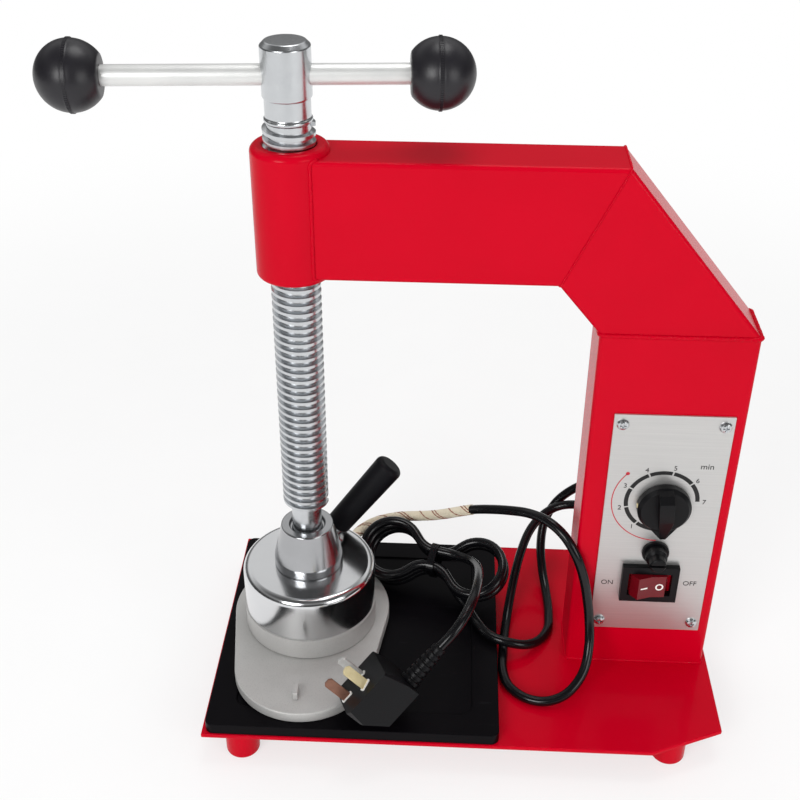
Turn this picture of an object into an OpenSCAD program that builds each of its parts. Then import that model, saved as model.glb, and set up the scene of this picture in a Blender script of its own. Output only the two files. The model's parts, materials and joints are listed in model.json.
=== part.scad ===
// Tire vulcanizer: a screw press with a heated head, for patching inner tubes.
// Millimetres, Z up, front towards -Y. Heights in the modules count from the base plate's top.

/* [Base] */
// Spindle axis to the base plate's left edge
base_left = 60; // [58:0.5:75]
// Spindle axis to the base plate's right edge
base_right = 269; // [267:0.5:300]
// Depth of the base plate
base_d = 195; // [195:0.5:230]
// Thickness of the base plate
base_t = 3; // [2:0.25:6]
// Length of the cut corners at the column's end
corner_cut_x = 46; // [20:1:60]
// Depth of the cut corners at the column's end
corner_cut_y = 20; // [10:1:30]
// Diameter of the feet
foot_dia = 21.5; // [16:0.5:26]
// Height of the feet
foot_h = 20; // [12:0.5:30]
// Left feet, in from the left edge
foot_left_in = 24; // [18:0.5:40]
// Left feet, in from the front and back edges
foot_left_side = 12; // [11:0.5:30]
// Right feet, in from the right edge
foot_right_in = 32; // [28:0.5:50]
// Right feet, in from the front and back edges
foot_right_side = 21; // [18:0.5:35]

/* [Frame] */
// Spindle axis to the column
throat = 174; // [165:0.5:178]
// Base plate's top to the arm's underside
daylight = 280; // [270:0.5:320]
// Height of the arm tube
arm_h = 70; // [60:0.5:72]
// Width of all frame tubes
frame_w = 36; // [34:0.5:40]
// Wall of the frame tubes
tube_wall = 3; // [2:0.1:4]
// Outer corner radius of the frame tubes
tube_corner = 2.6; // [2:0.1:4]
// Slope of the middle tube below level
slope_angle = 50; // [45:0.5:55]
// Column's top below the arm's underside
slope_drop = 29.5; // [20:0.5:40]
// Diameter of the nut boss
boss_dia = 44; // [40:0.5:50]
// Nut boss below the arm
boss_under = 3; // [1:0.5:6]
// Nut boss above the arm
boss_over = 4; // [1:0.5:8]
// Bevel of the nut boss
boss_bevel = 2; // [0.5:0.25:3]

/* [Spindle] */
// Outer diameter of the thread
thread_dia = 29; // [26:0.25:32]
// Pitch of the thread
thread_pitch = 5; // [4:0.25:6]
// Depth of the thread
thread_depth = 2.4; // [1.5:0.1:2.8]
// Thread standing above the boss
thread_over = 15; // [8:0.5:25]
// Diameter of the neck
neck_dia = 25; // [20:0.25:26]
// Height of the neck
neck_h = 10; // [6:0.5:14]
// Diameter of the drilled head
head_dia = 27; // [22:0.25:29]
// Height of the drilled head
head_h = 30; // [28:0.5:36]
// Bevel of the drilled head
head_bevel = 2.5; // [1:0.25:4]
// Tommy bar below the spindle's top
bar_drop = 18; // [12:0.25:18]
// Diameter of the plain tip
tip_dia = 19; // [17:0.25:21]
// Tip showing between cone and thread
tip_show = 17; // [10:0.5:25]
// Tip inside the press cone
tip_in = 16; // [14:0.5:17]
// Diameter of the thrust ball
thrust_ball_dia = 10; // [8:0.5:11]
// Diameter of the retaining pin
pin_dia = 4; // [3:0.25:4.5]

/* [Tommy bar] */
// Diameter of the bar
bar_dia = 11.2; // [9:0.1:12]
// Distance between the ball knobs' centres
bar_span = 192; // [170:0.5:220]
// Bar pushed to the left of centre
bar_shift = 15.5; // [0:0.5:30]
// Bar turned from the arm's direction
bar_turn = 4.5; // [0:0.5:20]
// Diameter of the ball knobs
knob_dia = 38; // [34:0.5:44]
// Flat of a ball knob, from its centre
knob_flat = 15.5; // [12:0.25:16.5]
// Width of the ridge round a ball knob
ridge_w = 2.4; // [1:0.1:4]
// Height of the ridge round a ball knob
ridge_h = 0.4; // [0.2:0.1:1]
// Bar's reach past the ball knob's centre
bar_reach = 5; // [0:0.5:9]

/* [Press head] */
// Gap between the closed heater disc and the platen
press_gap = 0.3; // [0.3:0.1:6]
// Diameter of the heater disc
disc_dia = 88; // [86:0.25:90]
// Thickness of the heater disc
disc_t = 16; // [12:0.25:18]
// Height of the disc's register inside the cap
register_h = 4; // [3:0.25:4]
// Diameter of the cap
cap_dia = 87.5; // [86:0.25:88]
// Height of the cap
cap_h = 32; // [30:0.25:36]
// Wall of the cap
cap_wall = 2; // [1.5:0.1:2.5]
// Rounding of the cap's shoulder
cap_shoulder = 5; // [3:0.25:6]
// Diameter of the press cone's base
cone_dia = 45; // [42:0.25:46]
// Upright band at the press cone's base
cone_band = 6.5; // [4:0.25:9]
// Height of the press cone
cone_h = 31.2; // [30.5:0.1:36]
// Top diameter of the press cone
cone_top_dia = 34; // [32:0.25:38]
// Mouth diameter of the press cone
mouth_dia = 23; // [22:0.25:25]
// Mouth depth of the press cone
mouth_h = 3; // [2:0.25:5]
// Diameter of the cone's clamp stud
spigot_dia = 12; // [9:0.25:13]
// Clamp stud's depth in the heater disc
spigot_in = 6; // [4:0.25:9]
// Thickness of the heating element
element_t = 3; // [2:0.25:4]
// Outer diameter of element and insulator
element_dia = 76; // [74:0.25:80]
// Bore of the heating element
element_bore = 28; // [24:0.25:32]
// Thickness of the insulator
insulator_t = 5; // [3:0.25:6]
// Bore of the insulator
insulator_bore = 20; // [16:0.25:24]
// Outer diameter of the load spacer
spacer_dia = 32; // [30:0.25:34]
// Bore of the load spacer
spacer_bore = 14; // [13.5:0.1:16]
// Diameter of the thermostat
thermostat_dia = 18; // [14:0.25:19]
// Thermostat in front of the axis
thermostat_off = 26; // [25.8:0.1:27]
// Direction of the sleeve's entry, from +X towards +Y
entry_turn = 65; // [60:1:70]
// Sleeve's entry above the cap's lower edge
entry_up = 9.2; // [9.2:0.1:12]
// Diameter of the entry grommet
grommet_dia = 10; // [9:0.1:10]
// Bore of the entry grommet
grommet_bore = 6; // [4:0.1:7]

/* [Handle] */
// Handle seat right of the axis
handle_x = 10.6; // [9:0.1:14]
// Handle seat behind the axis
handle_y = 27.5; // [27.5:0.1:30]
// Direction of the handle, from +X towards +Y
handle_turn = 15; // [5:1:25]
// Rise of the handle above level
handle_rise = 50; // [48:0.5:60]
// Diameter of the handle lug
lug_dia = 12; // [10:0.25:13]
// Length of the handle lug
lug_len = 9; // [8:0.25:12]
// Diameter of the handle stud
stud_dia = 7; // [5:0.25:8]
// Handle stud's depth in the lug
stud_in = 5; // [3:0.25:6]
// Handle stud's depth in the grip
stud_out = 18; // [12:0.5:24]
// Length of the grip
grip_len = 59; // [50:0.5:64]
// Diameter of the grip at the lug
grip_dia = 17; // [14:0.25:18]
// Diameter of the grip at its end
grip_end_dia = 19.5; // [17:0.25:20]

/* [Lower platen] */
// Radius of the platen's back round
platen_r = 53; // [50:0.25:55]
// Back round's centre behind the axis
platen_back = 8; // [6:0.25:10]
// Radius of the platen's front round
platen_front_r = 45; // [42:0.25:45]
// Front round's centre in front of the axis
platen_front = 47; // [44:0.25:48]
// Thickness of the platen
platen_t = 7.5; // [7:0.1:8]
// Height of the upright tab
tab_h = 6; // [4:0.25:9]

/* [Tray] */
// Width and depth of the tray
tray_w = 185; // [182:0.5:186]
// Height of the tray
tray_h = 8; // [7.5:0.1:8.5]
// Tray's left edge in from the base plate's
tray_in = 2.5; // [1:0.25:4]
// Tray's front edge in from the base plate's
tray_front_in = 1; // [0.5:0.25:3]
// Margin round the tray's recess
tray_margin = 17; // [12:0.5:24]
// Depth of the tray's recess
tray_recess = 1.2; // [0.6:0.1:2]

/* [Control panel] */
// Width of the panel
panel_w = 71; // [68:0.25:72]
// Height of the panel
panel_h = 168; // [160:0.5:175]
// Thickness of the panel
panel_t = 1.2; // [0.8:0.1:2]
// Panel's lower edge above the base plate
panel_up = 30.6; // [26:0.5:36]
// Panel right of the column's middle
panel_off = 3.4; // [2:0.1:4.5]
// Panel screws in from the side edges
screw_in_x = 5.4; // [5:0.1:7]
// Panel screws in from the upper and lower edges
screw_in_z = 6.8; // [6:0.1:9]
// Diameter of the panel screws' heads
screw_dia = 7.5; // [6:0.1:8]
// Width of the window behind the panel
window_w = 54; // [52:0.5:55]
// Height of the window behind the panel
window_h = 132; // [128:0.5:136]
// Timer's axis above the panel's lower edge
timer_up = 102.4; // [100:0.2:106]
// Diameter of the timer knob
timer_dia = 33; // [28:0.25:36]
// Height of the timer knob
timer_h = 15; // [10:0.25:18]
// Timer knob's pointer, from the axis
pointer_len = 23; // [20:0.25:24]
// Diameter of the timer shaft
timer_shaft_dia = 6; // [5:0.1:7]
// Width and height of the timer body
timer_body_w = 44; // [38:0.5:46]
// Depth of the timer body
timer_body_d = 24; // [20:0.5:28]
// Fuse's axis above the panel's lower edge
fuse_up = 65.6; // [65:0.2:68]
// Diameter of the fuse holder's flange
fuse_flange_dia = 17; // [15:0.25:17.5]
// Diameter of the fuse cap
fuse_cap_dia = 13.5; // [12:0.25:14]
// Fuse cap's front ahead of the panel
fuse_out = 15; // [10:0.25:18]
// Switch's middle above the panel's lower edge
switch_up = 41; // [38:0.2:41.4]
// Width of the switch bezel
bezel_w = 36; // [35:0.25:37]
// Height of the switch bezel
bezel_h = 28; // [26:0.25:29]
// Depth of the switch bezel
bezel_t = 4; // [3.5:0.1:4.5]
// Width of the rocker
rocker_w = 24; // [21:0.25:24.5]
// Height of the rocker
rocker_h = 16.8; // [15:0.1:17]
// Rocker's tilt at rest
rocker_tilt = 12; // [8:0.5:12]
// Depth of the switch behind the panel's front
switch_deep = 20; // [16:0.5:24]
// Width of the terminal block
terminal_w = 48; // [46:0.5:56]
// Height of the terminal block
terminal_h = 16; // [12:0.5:20]
// Depth of the terminal block
terminal_d = 11; // [8:0.5:14]
// Terminal block's middle above the base plate
terminal_up = 26; // [20:0.5:40]
// Spacing of the four terminals
terminal_step = 12; // [9:0.5:13]
// Bore of the terminals
terminal_bore = 4; // [3:0.1:5]

/* [Cords] */
// Diameter of the mains cord
mains_dia = 6.5; // [6:0.1:6.6]
// Diameter of the heater cable
heater_dia = 6.3; // [5.5:0.1:6.4]
// Diameter of the woven sleeve
sleeve_dia = 7.6; // [7:0.1:8]
// Length of the glands behind the column
gland_len = 28; // [24:0.5:30]
// Diameter of the glands' flange
gland_dia = 18; // [16:0.25:20]
// Mains gland right of the axis
mains_gland_x = 205; // [203:0.5:208]
// Mains gland above the base plate
mains_gland_z = 82; // [81:0.5:84]
// Heater gland right of the axis
heater_gland_x = 198; // [196:0.5:200]
// Heater gland above the base plate
heater_gland_z = 60; // [58:0.5:61]
// Width of the band that ties the hank
tie_w = 5; // [3:0.25:6]
// Thickness of the band that ties the hank
tie_t = 1.2; // [0.8:0.1:2]
// Width of the plug across its blade face
plug_h = 33; // [32:0.1:34]
// Length of the plug's strain relief
relief_len = 30; // [26:0.5:34]
// Length of the plug's blades
blade_len = 18; // [17:0.1:19]
// Width of the plug's blades
blade_w = 6.35; // [6:0.05:6.5]
// Thickness of the plug's blades
blade_t = 1.6; // [1.4:0.05:1.8]

/* [Clearances] */
// Gap of running fits, each side
run_gap = 0.05; // [0.02:0.01:0.1]
// Gap of seated pieces, each side
seat_gap = 0.05; // [0.02:0.01:0.1]
// Gap between moving pieces that never touch
free_gap = 0.3; // [0.3:0.05:0.6]

/* [Hidden] */
$fn = 64;

// The origin is the middle of the whole object, on the floor
knob_r = knob_dia / 2;
bar_left = bar_span / 2 + bar_shift;
bar_right = bar_span / 2 - bar_shift;
origin_x = -(base_right - (bar_left * cos(bar_turn) + knob_r)) / 2;
base_z = foot_h + base_t;

// Frame
column_w = arm_h / sin(slope_angle);
column_h = daylight - slope_drop;
column_x = throat + column_w / 2;
mitre_x = throat - slope_drop / tan(slope_angle);
mitre_lean = tan(slope_angle / 2);
boss_z0 = daylight - boss_under;
boss_z1 = daylight + arm_h + boss_over;

// Press head, from the platen up
platen_z = tray_h + platen_t;
disc_z = platen_z + press_gap;
cap_z = disc_z + disc_t;
cap_top = cap_z + cap_h;
cap_in_r = cap_dia / 2 - cap_wall;
register_z = cap_z + register_h;
element_z = register_z + element_t;
insulator_z = element_z + insulator_t;
cone_z = cap_top + cone_h;
entry_z = cap_z + entry_up;

// Spindle
tip_z = cone_z - tip_in;
thread_z0 = cone_z + tip_show;
thread_z1 = boss_z1 + thread_over;
root_r = thread_dia / 2 - thread_depth;
turns = floor((thread_z1 - thread_z0) / thread_pitch);
neck_z = thread_z1 + neck_h;
spindle_z = neck_z + head_h;
bar_z = spindle_z - bar_drop;
pin_z = cone_z - mouth_h - pin_dia / 2 - 2;
pin_x = tip_dia / 2 + pin_dia / 8;
ball_z = tip_z - free_gap - run_gap - thrust_ball_dia / 2;

// Panel
panel_x = column_x + panel_off;
face_y = -frame_w / 2;
panel_y = face_y - panel_t;
timer_x = panel_x + 0.7;
timer_z = panel_up + timer_up;
fuse_x = panel_x;
fuse_z = panel_up + fuse_up;
switch_x = panel_x - 1.3;
switch_z = panel_up + switch_up;
fuse_tube_r = 6;
fuse_bore_r = 4;
fuse_flange_t = 2;
fuse_deep = 28;
fuse_r = 2.6;
fuse_len = 20;
fuse_front = panel_y + 6.5;
bezel_y = panel_y - bezel_t;
switch_w = bezel_w - 6;
switch_h = bezel_h - 7;
cavity_w = rocker_w + 3.4;
cavity_h = rocker_h + 0.8;
cavity_d = 8;
pivot_y = bezel_y + 1.7;
pivot_r = 1.2;
pivot_in = 1.4;

// Tubes
tube_inner = max(0.5, tube_corner - tube_wall);

// Tray
tray_x = -base_left + tray_in + tray_w / 2;
tray_y = -base_d / 2 + tray_front_in + tray_w / 2;

// Plug, leaning on its back corner on the tray, its blades over the platen, held up by the lead
plug_dir = 33.3;
plug_roll = 66.6;
plug_tip = 38.8;
plug_deep = 29;
plug_back = plug_h / 2 - 4.5;
plug_low = plug_deep * sin(plug_roll) + plug_back * cos(plug_roll);
plug_at = [39.4, -85.1, tray_h + 0.05 + 6 * sin(plug_tip) + plug_low * cos(plug_tip)];
relief_deep = 24.5;
relief_q = 20;
blade_in = 4;

function rise(t) = t * t * (3 - 2 * t);
function unit(v) = v / norm(v);
function arc_pts(cx, cy, r, a0, a1, n) =
  [for (i = [0:n]) [cx + r * cos(a0 + (a1 - a0) * i / n), cy + r * sin(a0 + (a1 - a0) * i / n)]];
function round_rect(w, h, r) = concat(
  arc_pts(w / 2 - r, h / 2 - r, r, 0, 90, 6),
  arc_pts(r - w / 2, h / 2 - r, r, 90, 180, 6),
  arc_pts(r - w / 2, r - h / 2, r, 180, 270, 6),
  arc_pts(w / 2 - r, r - h / 2, r, 270, 360, 6));

// A smooth path through hand-set points, from point i0 to point i1, n steps between two points
function between(a, b, c, d, t) =
  0.5 * (2 * b + (c - a) * t + (2 * a - 5 * b + 4 * c - d) * t * t + (3 * b - a - 3 * c + d) * t * t * t);
function before(p, i) = i > 0 ? p[i - 1] : 2 * p[0] - p[1];
function after(p, i) = i + 2 < len(p) ? p[i + 2] : 2 * p[i + 1] - p[i];
function smooth(p, i0, i1, n) = concat(
  [for (i = [i0:i1 - 1]) for (k = [0:n - 1]) between(before(p, i), p[i], p[i + 1], after(p, i), k / n)],
  [p[i1]]);

// A round tube along a path, its rings carried along without twist
function headings(q) =
  [for (i = [0:len(q) - 1]) unit(q[min(i + 1, len(q) - 1)] - q[max(i - 1, 0)])];
function square_to(u, t) = unit(u - (u * t) * t);
function sides_of(t) =
  [for (i = 0, u = square_to([0.3, 0.2, 1], t[0]); i < len(t);
    i = i + 1, u = square_to(u, t[min(i, len(t) - 1)])) u];
function ring(c, t, u0, r, m) =
  let (v = unit(cross(t, u0)), u = cross(v, t))
  [for (k = [0:m - 1]) c + r * (cos(360 * k / m) * u + sin(360 * k / m) * v)];
module tube(q, dia, m) {
  t = headings(q);
  s = sides_of(t);
  n = len(q);
  pts = [for (i = [0:n - 1]) each ring(q[i], t[i], s[i], dia / 2, m)];
  near = [for (k = [0:m - 1]) k];
  far = [for (k = [0:m - 1]) n * m - 1 - k];
  skin = [for (i = [0:n - 2]) for (k = [0:m - 1])
    let (a = i * m + k, b = i * m + (k + 1) % m)
    each [[a, a + m, b + m], [a, b + m, b]]];
  polyhedron(points = pts, faces = concat([near], skin, [far]), convexity = 10);
}

// The hank: three loops to the left and two to the right of a tied waist, in three layers
loop_r = 19.8;
waist = 5.5;
layer = 7.2;
fan = 0.5;
hank_roll = 35;
hank_yaw = -17;
hank_at = [83.5, 43, tray_h + 22.2];
loop_c = sqrt((loop_r - waist) * (3 * loop_r + waist));
loop_b = asin(loop_c / (2 * loop_r));
loop_turn = 180 + 4 * loop_b;
loop_reach = loop_c + loop_r;
// Place beside the waist after a share f of one loop: along, across
function in_arc(t) = [loop_r * sin(t), waist + loop_r - loop_r * cos(t)];
function loop_pt(t) =
  t < loop_b ? in_arc(t) :
  t <= loop_turn - loop_b ?
    [loop_c + loop_r * cos(90 + 2 * loop_b - t), loop_r * sin(90 + 2 * loop_b - t)] :
    [in_arc(loop_turn - t)[0], -in_arc(loop_turn - t)[1]];
function hank_put(a, r, n) =
  let (y = r * cos(hank_roll) - n * sin(hank_roll), z = r * sin(hank_roll) + n * cos(hank_roll))
  hank_at + [a * cos(hank_yaw) - y * sin(hank_yaw), a * sin(hank_yaw) + y * cos(hank_yaw), z];
function spread(l, a) = layer * (l - 1) * (1 + fan * pow(a / loop_reach, 2));
function left_loop(l, f) =
  let (p = loop_pt(loop_turn * f)) hank_put(-p[0], -p[1], spread(l, p[0]));
function right_loop(l0, l1, f) =
  let (p = loop_pt(loop_turn * f), l = l0 + (l1 - l0) * rise(min(1, f / 0.65)))
  hank_put(p[0], p[1], spread(l, p[0]));
loop_n = 22;
hank_path = concat(
  [for (k = [19:loop_n - 1]) right_loop(0, 0, k / loop_n)],
  [for (k = [0:loop_n - 1]) left_loop(0, k / loop_n)],
  [for (k = [0:loop_n - 1]) right_loop(0, 1, k / loop_n)],
  [for (k = [0:loop_n - 1]) left_loop(1, k / loop_n)],
  [for (k = [0:loop_n - 1]) right_loop(1, 2, k / loop_n)],
  [for (k = [0:loop_n]) left_loop(2, k / loop_n)],
  [hank_put(3, waist, layer)]);
hank_last = len(hank_path) - 1;
hank_in = hank_path[0];
hank_out = hank_path[hank_last];
hank_in_dir = unit(hank_path[1] - hank_path[0]);
hank_out_dir = unit(hank_path[hank_last] - hank_path[hank_last - 1]);
hank_gap = min([for (i = [0:hank_last]) for (j = [i + 6:1:hank_last])
  norm(hank_path[i] - hank_path[j])]) - mains_dia;
echo(hank_gap = hank_gap);

// Cord routes
mains_tip = [mains_gland_x, frame_w / 2 + gland_len, mains_gland_z];
mains_route = concat(
  [mains_tip, mains_tip + [0, 12, 0]],
  [[202, 72, 79], [194, 84, 72], [183, 91, 62], [171, 91, 49.5], [163, 85, 36], [160.5, 74.5, 22.5],
   [161.5, 61.5, 11.5], [163.5, 47.5, 5], [164.5, 34, 3.5], [164.5, 20, 3.4], [163, 6, 3.4],
   [156.5, -6.5, 4.5], [146.5, -15, 8], [134, -16.5, 11.3], [122, -11.5, 12.2], [114.5, -1, 12.4]],
  [hank_in - 20 * hank_in_dir + [0, 0, 2], hank_in - 8 * hank_in_dir, hank_in]);
relief_dir = [cos(plug_dir) * cos(plug_tip), sin(plug_dir) * cos(plug_tip), sin(plug_tip)];
relief_lean = sin(plug_tip) * sin(plug_roll);
relief_side = [relief_lean * cos(plug_dir) + cos(plug_roll) * sin(plug_dir),
  relief_lean * sin(plug_dir) - cos(plug_roll) * cos(plug_dir), -cos(plug_tip) * sin(plug_roll)];
relief_tip = plug_at + (relief_q + relief_len) * relief_dir + relief_deep * relief_side;
lead_route = concat(
  [hank_out, hank_out + 11 * hank_out_dir],
  [[104.29, 34.33, 40.77], [108.97, 27.94, 43.44], [111.64, 20.35, 46.94], [112.89, 11.82, 50.9],
   [113.2, 2.59, 54.98], [112.87, -7.05, 58.83], [112.08, -16.86, 62.11], [110.83, -26.57, 64.45],
   [109, -35.9, 65.52], [106.33, -44.6, 64.97], [102.46, -52.38, 62.44]],
  [relief_tip + 12 * relief_dir, relief_tip]);
heater_tip = [heater_gland_x, frame_w / 2 + gland_len, heater_gland_z];
entry_dir = [cos(entry_turn), sin(entry_turn), 0];
sleeve_end = (max(cap_dia, disc_dia) / 2 + free_gap) * entry_dir + [0, 0, entry_z];
heater_points = [
  [194.5, 70.5, 58.5], [185, 79.5, 56], [172, 83, 51.5], [160.5, 79.5, 45.5], [151.5, 70.5, 38.5],
  [145.5, 58, 30.5], [141, 43.5, 21.5], [137.5, 28, 12.5], [134.8, 12, 5.6], [132.8, -5, 3.4],
  [131.6, -21, 3.3], [131.3, -35, 3.3], [134.8, -48.8, 3.3], [145, -58.8, 3.3], [158.5, -62.5, 4.6],
  [172, -58.8, 9], [182, -49, 18], [185.7, -37.5, 31], [185, -29.5, 47], [182.4, -26, 63],
  [179, -24.3, 78], [173.5, -21.5, 92.5], [165.5, -15, 103], [155.5, -6, 107], [144, 5, 104.5],
  [131.5, 16.5, 97.5], [119, 28, 89]];
sleeve_start = [108, 38, 80.5];
sleeve_points = [
  [97.5, 47.3, 70.8], [87.5, 57, 60.8], [77.8, 66.3, 52], [68, 74, 45.3], [58, 78.5, 40.8],
  [47.6, 78.5, 38.5], [38.1, 74.2, 37.8], [31.6, 67.2, 38.4], [27, 58, 39.9]];
heater_route = concat(
  [heater_tip, heater_tip + [0, 12, 0]], heater_points, [sleeve_start], sleeve_points,
  [sleeve_end + 8 * entry_dir, sleeve_end]);
sleeve_at = 2 + len(heater_points);

module place() {
  translate([origin_x, 0, base_z]) children();
}

// Turns a shape drawn up the Z axis so that it points to the front
module to_front() {
  rotate([90, 0, 0]) children();
}

// A plate in the front's plane, from depth y0 back by d
module front_box(x, z, w, h, y0, d) {
  translate([x - w / 2, y0, z - h / 2]) cube([w, d, h]);
}

module base_plate() {
  color([0.75, 0.1, 0.08]) place() translate([0, 0, -base_t]) linear_extrude(base_t) polygon([
    [-base_left, -base_d / 2], [base_right - corner_cut_x, -base_d / 2],
    [base_right, corner_cut_y - base_d / 2], [base_right, base_d / 2 - corner_cut_y],
    [base_right - corner_cut_x, base_d / 2], [-base_left, base_d / 2]]);
}

module foot(x, y) {
  translate([x, y, -base_z]) rotate_extrude() polygon([
    [0, 0], [foot_dia / 2 - 1.5, 0], [foot_dia / 2, 1.5], [foot_dia / 2, foot_h], [0, foot_h]]);
}

module feet() {
  color([0.75, 0.1, 0.08]) place() {
    foot(foot_left_in - base_left, base_d / 2 - foot_left_side);
    foot(foot_left_in - base_left, foot_left_side - base_d / 2);
    foot(base_right - foot_right_in, base_d / 2 - foot_right_side);
    foot(base_right - foot_right_in, foot_right_side - base_d / 2);
  }
}

module panel_screw_places() {
  for (x = [-1, 1]) {
    for (z = [0, 1]) {
      translate([panel_x + x * (panel_w / 2 - screw_in_x), panel_y,
        panel_up + screw_in_z + z * (panel_h - 2 * screw_in_z)]) to_front() children();
    }
  }
}

module column() {
  color([0.75, 0.1, 0.08]) place() difference() {
    translate([column_x, 0, 0]) linear_extrude(column_h)
      polygon(round_rect(column_w, frame_w, tube_corner));
    translate([column_x, 0, -1]) linear_extrude(column_h + 2)
      polygon(round_rect(column_w - 2 * tube_wall, frame_w - 2 * tube_wall, tube_inner));
    front_box(panel_x, panel_up + panel_h / 2, window_w, window_h, face_y - 1, tube_wall + 2);
    panel_screw_places() translate([0, 0, -tube_wall - panel_t - 1])
      cylinder(r = 1.9 + seat_gap, h = tube_wall + panel_t + 2);
    translate([mains_gland_x, frame_w / 2 + 1, mains_gland_z]) to_front()
      cylinder(r = 5 + seat_gap, h = tube_wall + 2);
    translate([heater_gland_x, frame_w / 2 + 1, heater_gland_z]) to_front()
      cylinder(r = 5 + seat_gap, h = tube_wall + 2);
  }
}

module tube_section(l) {
  rotate([90, 0, 90]) linear_extrude(l) difference() {
    polygon(round_rect(frame_w, arm_h, tube_corner));
    polygon(round_rect(frame_w - 2 * tube_wall, arm_h - 2 * tube_wall, tube_inner));
  }
}

module side_prism(pts) {
  translate([0, frame_w, 0]) to_front() linear_extrude(2 * frame_w) polygon(pts);
}

module slope_tube() {
  top = daylight + 2 * arm_h;
  color([0.75, 0.1, 0.08]) place() intersection() {
    translate([mitre_x, 0, daylight]) rotate([0, slope_angle, 0])
      translate([-arm_h, 0, arm_h / 2]) tube_section(4 * arm_h);
    side_prism([
      [mitre_x - slope_drop * mitre_lean, column_h], [throat + 3 * column_w, column_h],
      [throat + 3 * column_w, top], [mitre_x + 2 * arm_h * mitre_lean, top]]);
  }
}

module arm_tube() {
  low = daylight - slope_drop;
  top = daylight + 2 * arm_h;
  color([0.75, 0.1, 0.08]) place() difference() {
    intersection() {
      translate([0, 0, daylight + arm_h / 2]) tube_section(throat + column_w);
      side_prism([
        [-boss_dia, low], [mitre_x - slope_drop * mitre_lean, low],
        [mitre_x + 2 * arm_h * mitre_lean, top], [-boss_dia, top]]);
    }
    translate([0, 0, low]) cylinder(d = boss_dia, h = top - low);
  }
}

module nut_boss() {
  r0 = thread_dia / 2 + run_gap;
  r1 = boss_dia / 2;
  color([0.75, 0.1, 0.08]) place() rotate_extrude() polygon([
    [r0, boss_z0], [r1 - boss_bevel, boss_z0], [r1, boss_z0 + boss_bevel],
    [r1, boss_z1 - boss_bevel], [r1 - boss_bevel, boss_z1], [r0, boss_z1]]);
}

module tray() {
  inner = tray_w - 2 * tray_margin;
  color([0.08, 0.08, 0.08]) place() translate([tray_x, tray_y, 0]) difference() {
    linear_extrude(tray_h) polygon(round_rect(tray_w, tray_w, 5));
    translate([0, 0, tray_h - tray_recess]) linear_extrude(tray_recess + 1)
      polygon(round_rect(inner, inner, 8));
  }
}

module lower_platen() {
  lean = asin((platen_r - platen_front_r) / (platen_back + platen_front));
  color([0.8, 0.8, 0.8]) place() translate([0, 0, tray_h]) linear_extrude(platen_t) polygon(concat(
    arc_pts(0, platen_back, platen_r, -lean, 180 + lean, 48),
    arc_pts(0, -platen_front, platen_front_r, 180 + lean, 360 - lean, 40)));
}

module platen_tab() {
  color([0.8, 0.8, 0.8]) place() translate([-3.2, 11.5 - platen_front - platen_front_r, platen_z])
    cube([3.4, 9, tab_h]);
}

module control_panel() {
  color([0.8, 0.8, 0.8]) place() difference() {
    front_box(panel_x, panel_up + panel_h / 2, panel_w, panel_h, panel_y, panel_t);
    panel_screw_places() translate([0, 0, -panel_t - 1]) cylinder(r = 1.9 + seat_gap, h = panel_t + 2);
    translate([timer_x, face_y + 1, timer_z]) to_front()
      cylinder(r = timer_shaft_dia / 2 + 1, h = panel_t + 2);
    translate([fuse_x, face_y + 1, fuse_z]) to_front()
      cylinder(r = fuse_tube_r + seat_gap, h = panel_t + 2);
    front_box(switch_x, switch_z, switch_w + 2 * seat_gap, switch_h + 2 * seat_gap,
      panel_y - 1, panel_t + 2);
  }
}

module panel_screws() {
  color([0.7, 0.7, 0.7]) place() panel_screw_places() difference() {
    rotate_extrude() polygon([
      [0, -tube_wall - panel_t - 2], [1.9, -tube_wall - panel_t - 2], [1.9, 0], [screw_dia / 2, 0],
      [screw_dia / 2, 0.7], [screw_dia / 2 - 0.8, 1.7], [screw_dia / 2 - 2, 2.2], [0, 2.3]]);
    translate([-2, -0.5, 0.9]) cube([4, 1, 3]);
    translate([-0.5, -2, 0.9]) cube([1, 4, 3]);
  }
}

module timer_body() {
  color([0.12, 0.12, 0.12]) place() difference() {
    front_box(timer_x, timer_z, timer_body_w, timer_body_w, face_y, timer_body_d);
    translate([timer_x, face_y + 12, timer_z]) to_front()
      cylinder(r = timer_shaft_dia / 2 + run_gap, h = 14);
  }
}

module timer_shaft() {
  color([0.7, 0.7, 0.7]) place() translate([timer_x, face_y + 11, timer_z]) to_front()
    cylinder(d = timer_shaft_dia, h = 11 + panel_t + 2 * free_gap + timer_h - 4);
}

module timer_knob() {
  grip = timer_dia * 0.27;
  color([0.06, 0.06, 0.06]) place() translate([timer_x, panel_y - 2 * free_gap, timer_z])
    to_front() rotate([0, 0, 4]) difference() {
      union() {
        rotate_extrude() polygon([
          [0, 0], [timer_dia / 2, 0], [timer_dia / 2, timer_h * 0.3],
          [timer_dia / 2 - 2, timer_h * 0.45], [0, timer_h * 0.45]]);
        intersection() {
          linear_extrude(timer_h) polygon([
            [-grip / 2, timer_dia / 2 - 1], [-grip / 2, -3], [-1.6, -pointer_len],
            [1.6, -pointer_len], [grip / 2, -3], [grip / 2, timer_dia / 2 - 1]]);
          rotate([90, 0, 90]) translate([0, 0, -grip]) linear_extrude(2 * grip) polygon([
            [timer_dia / 2 - 1, 0], [timer_dia / 2 - 1, timer_h * 0.75],
            [timer_dia / 2 - 5, timer_h], [-2, timer_h], [-pointer_len, timer_h * 0.3],
            [-pointer_len, 0]]);
        }
        linear_extrude(timer_h * 0.3) polygon([
          [-timer_dia * 0.36, -timer_dia * 0.3], [-1.6, -pointer_len], [1.6, -pointer_len],
          [timer_dia * 0.36, -timer_dia * 0.3]]);
      }
      translate([0, 0, -1]) cylinder(r = timer_shaft_dia / 2 + seat_gap, h = timer_h - 3);
    }
}

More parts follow.
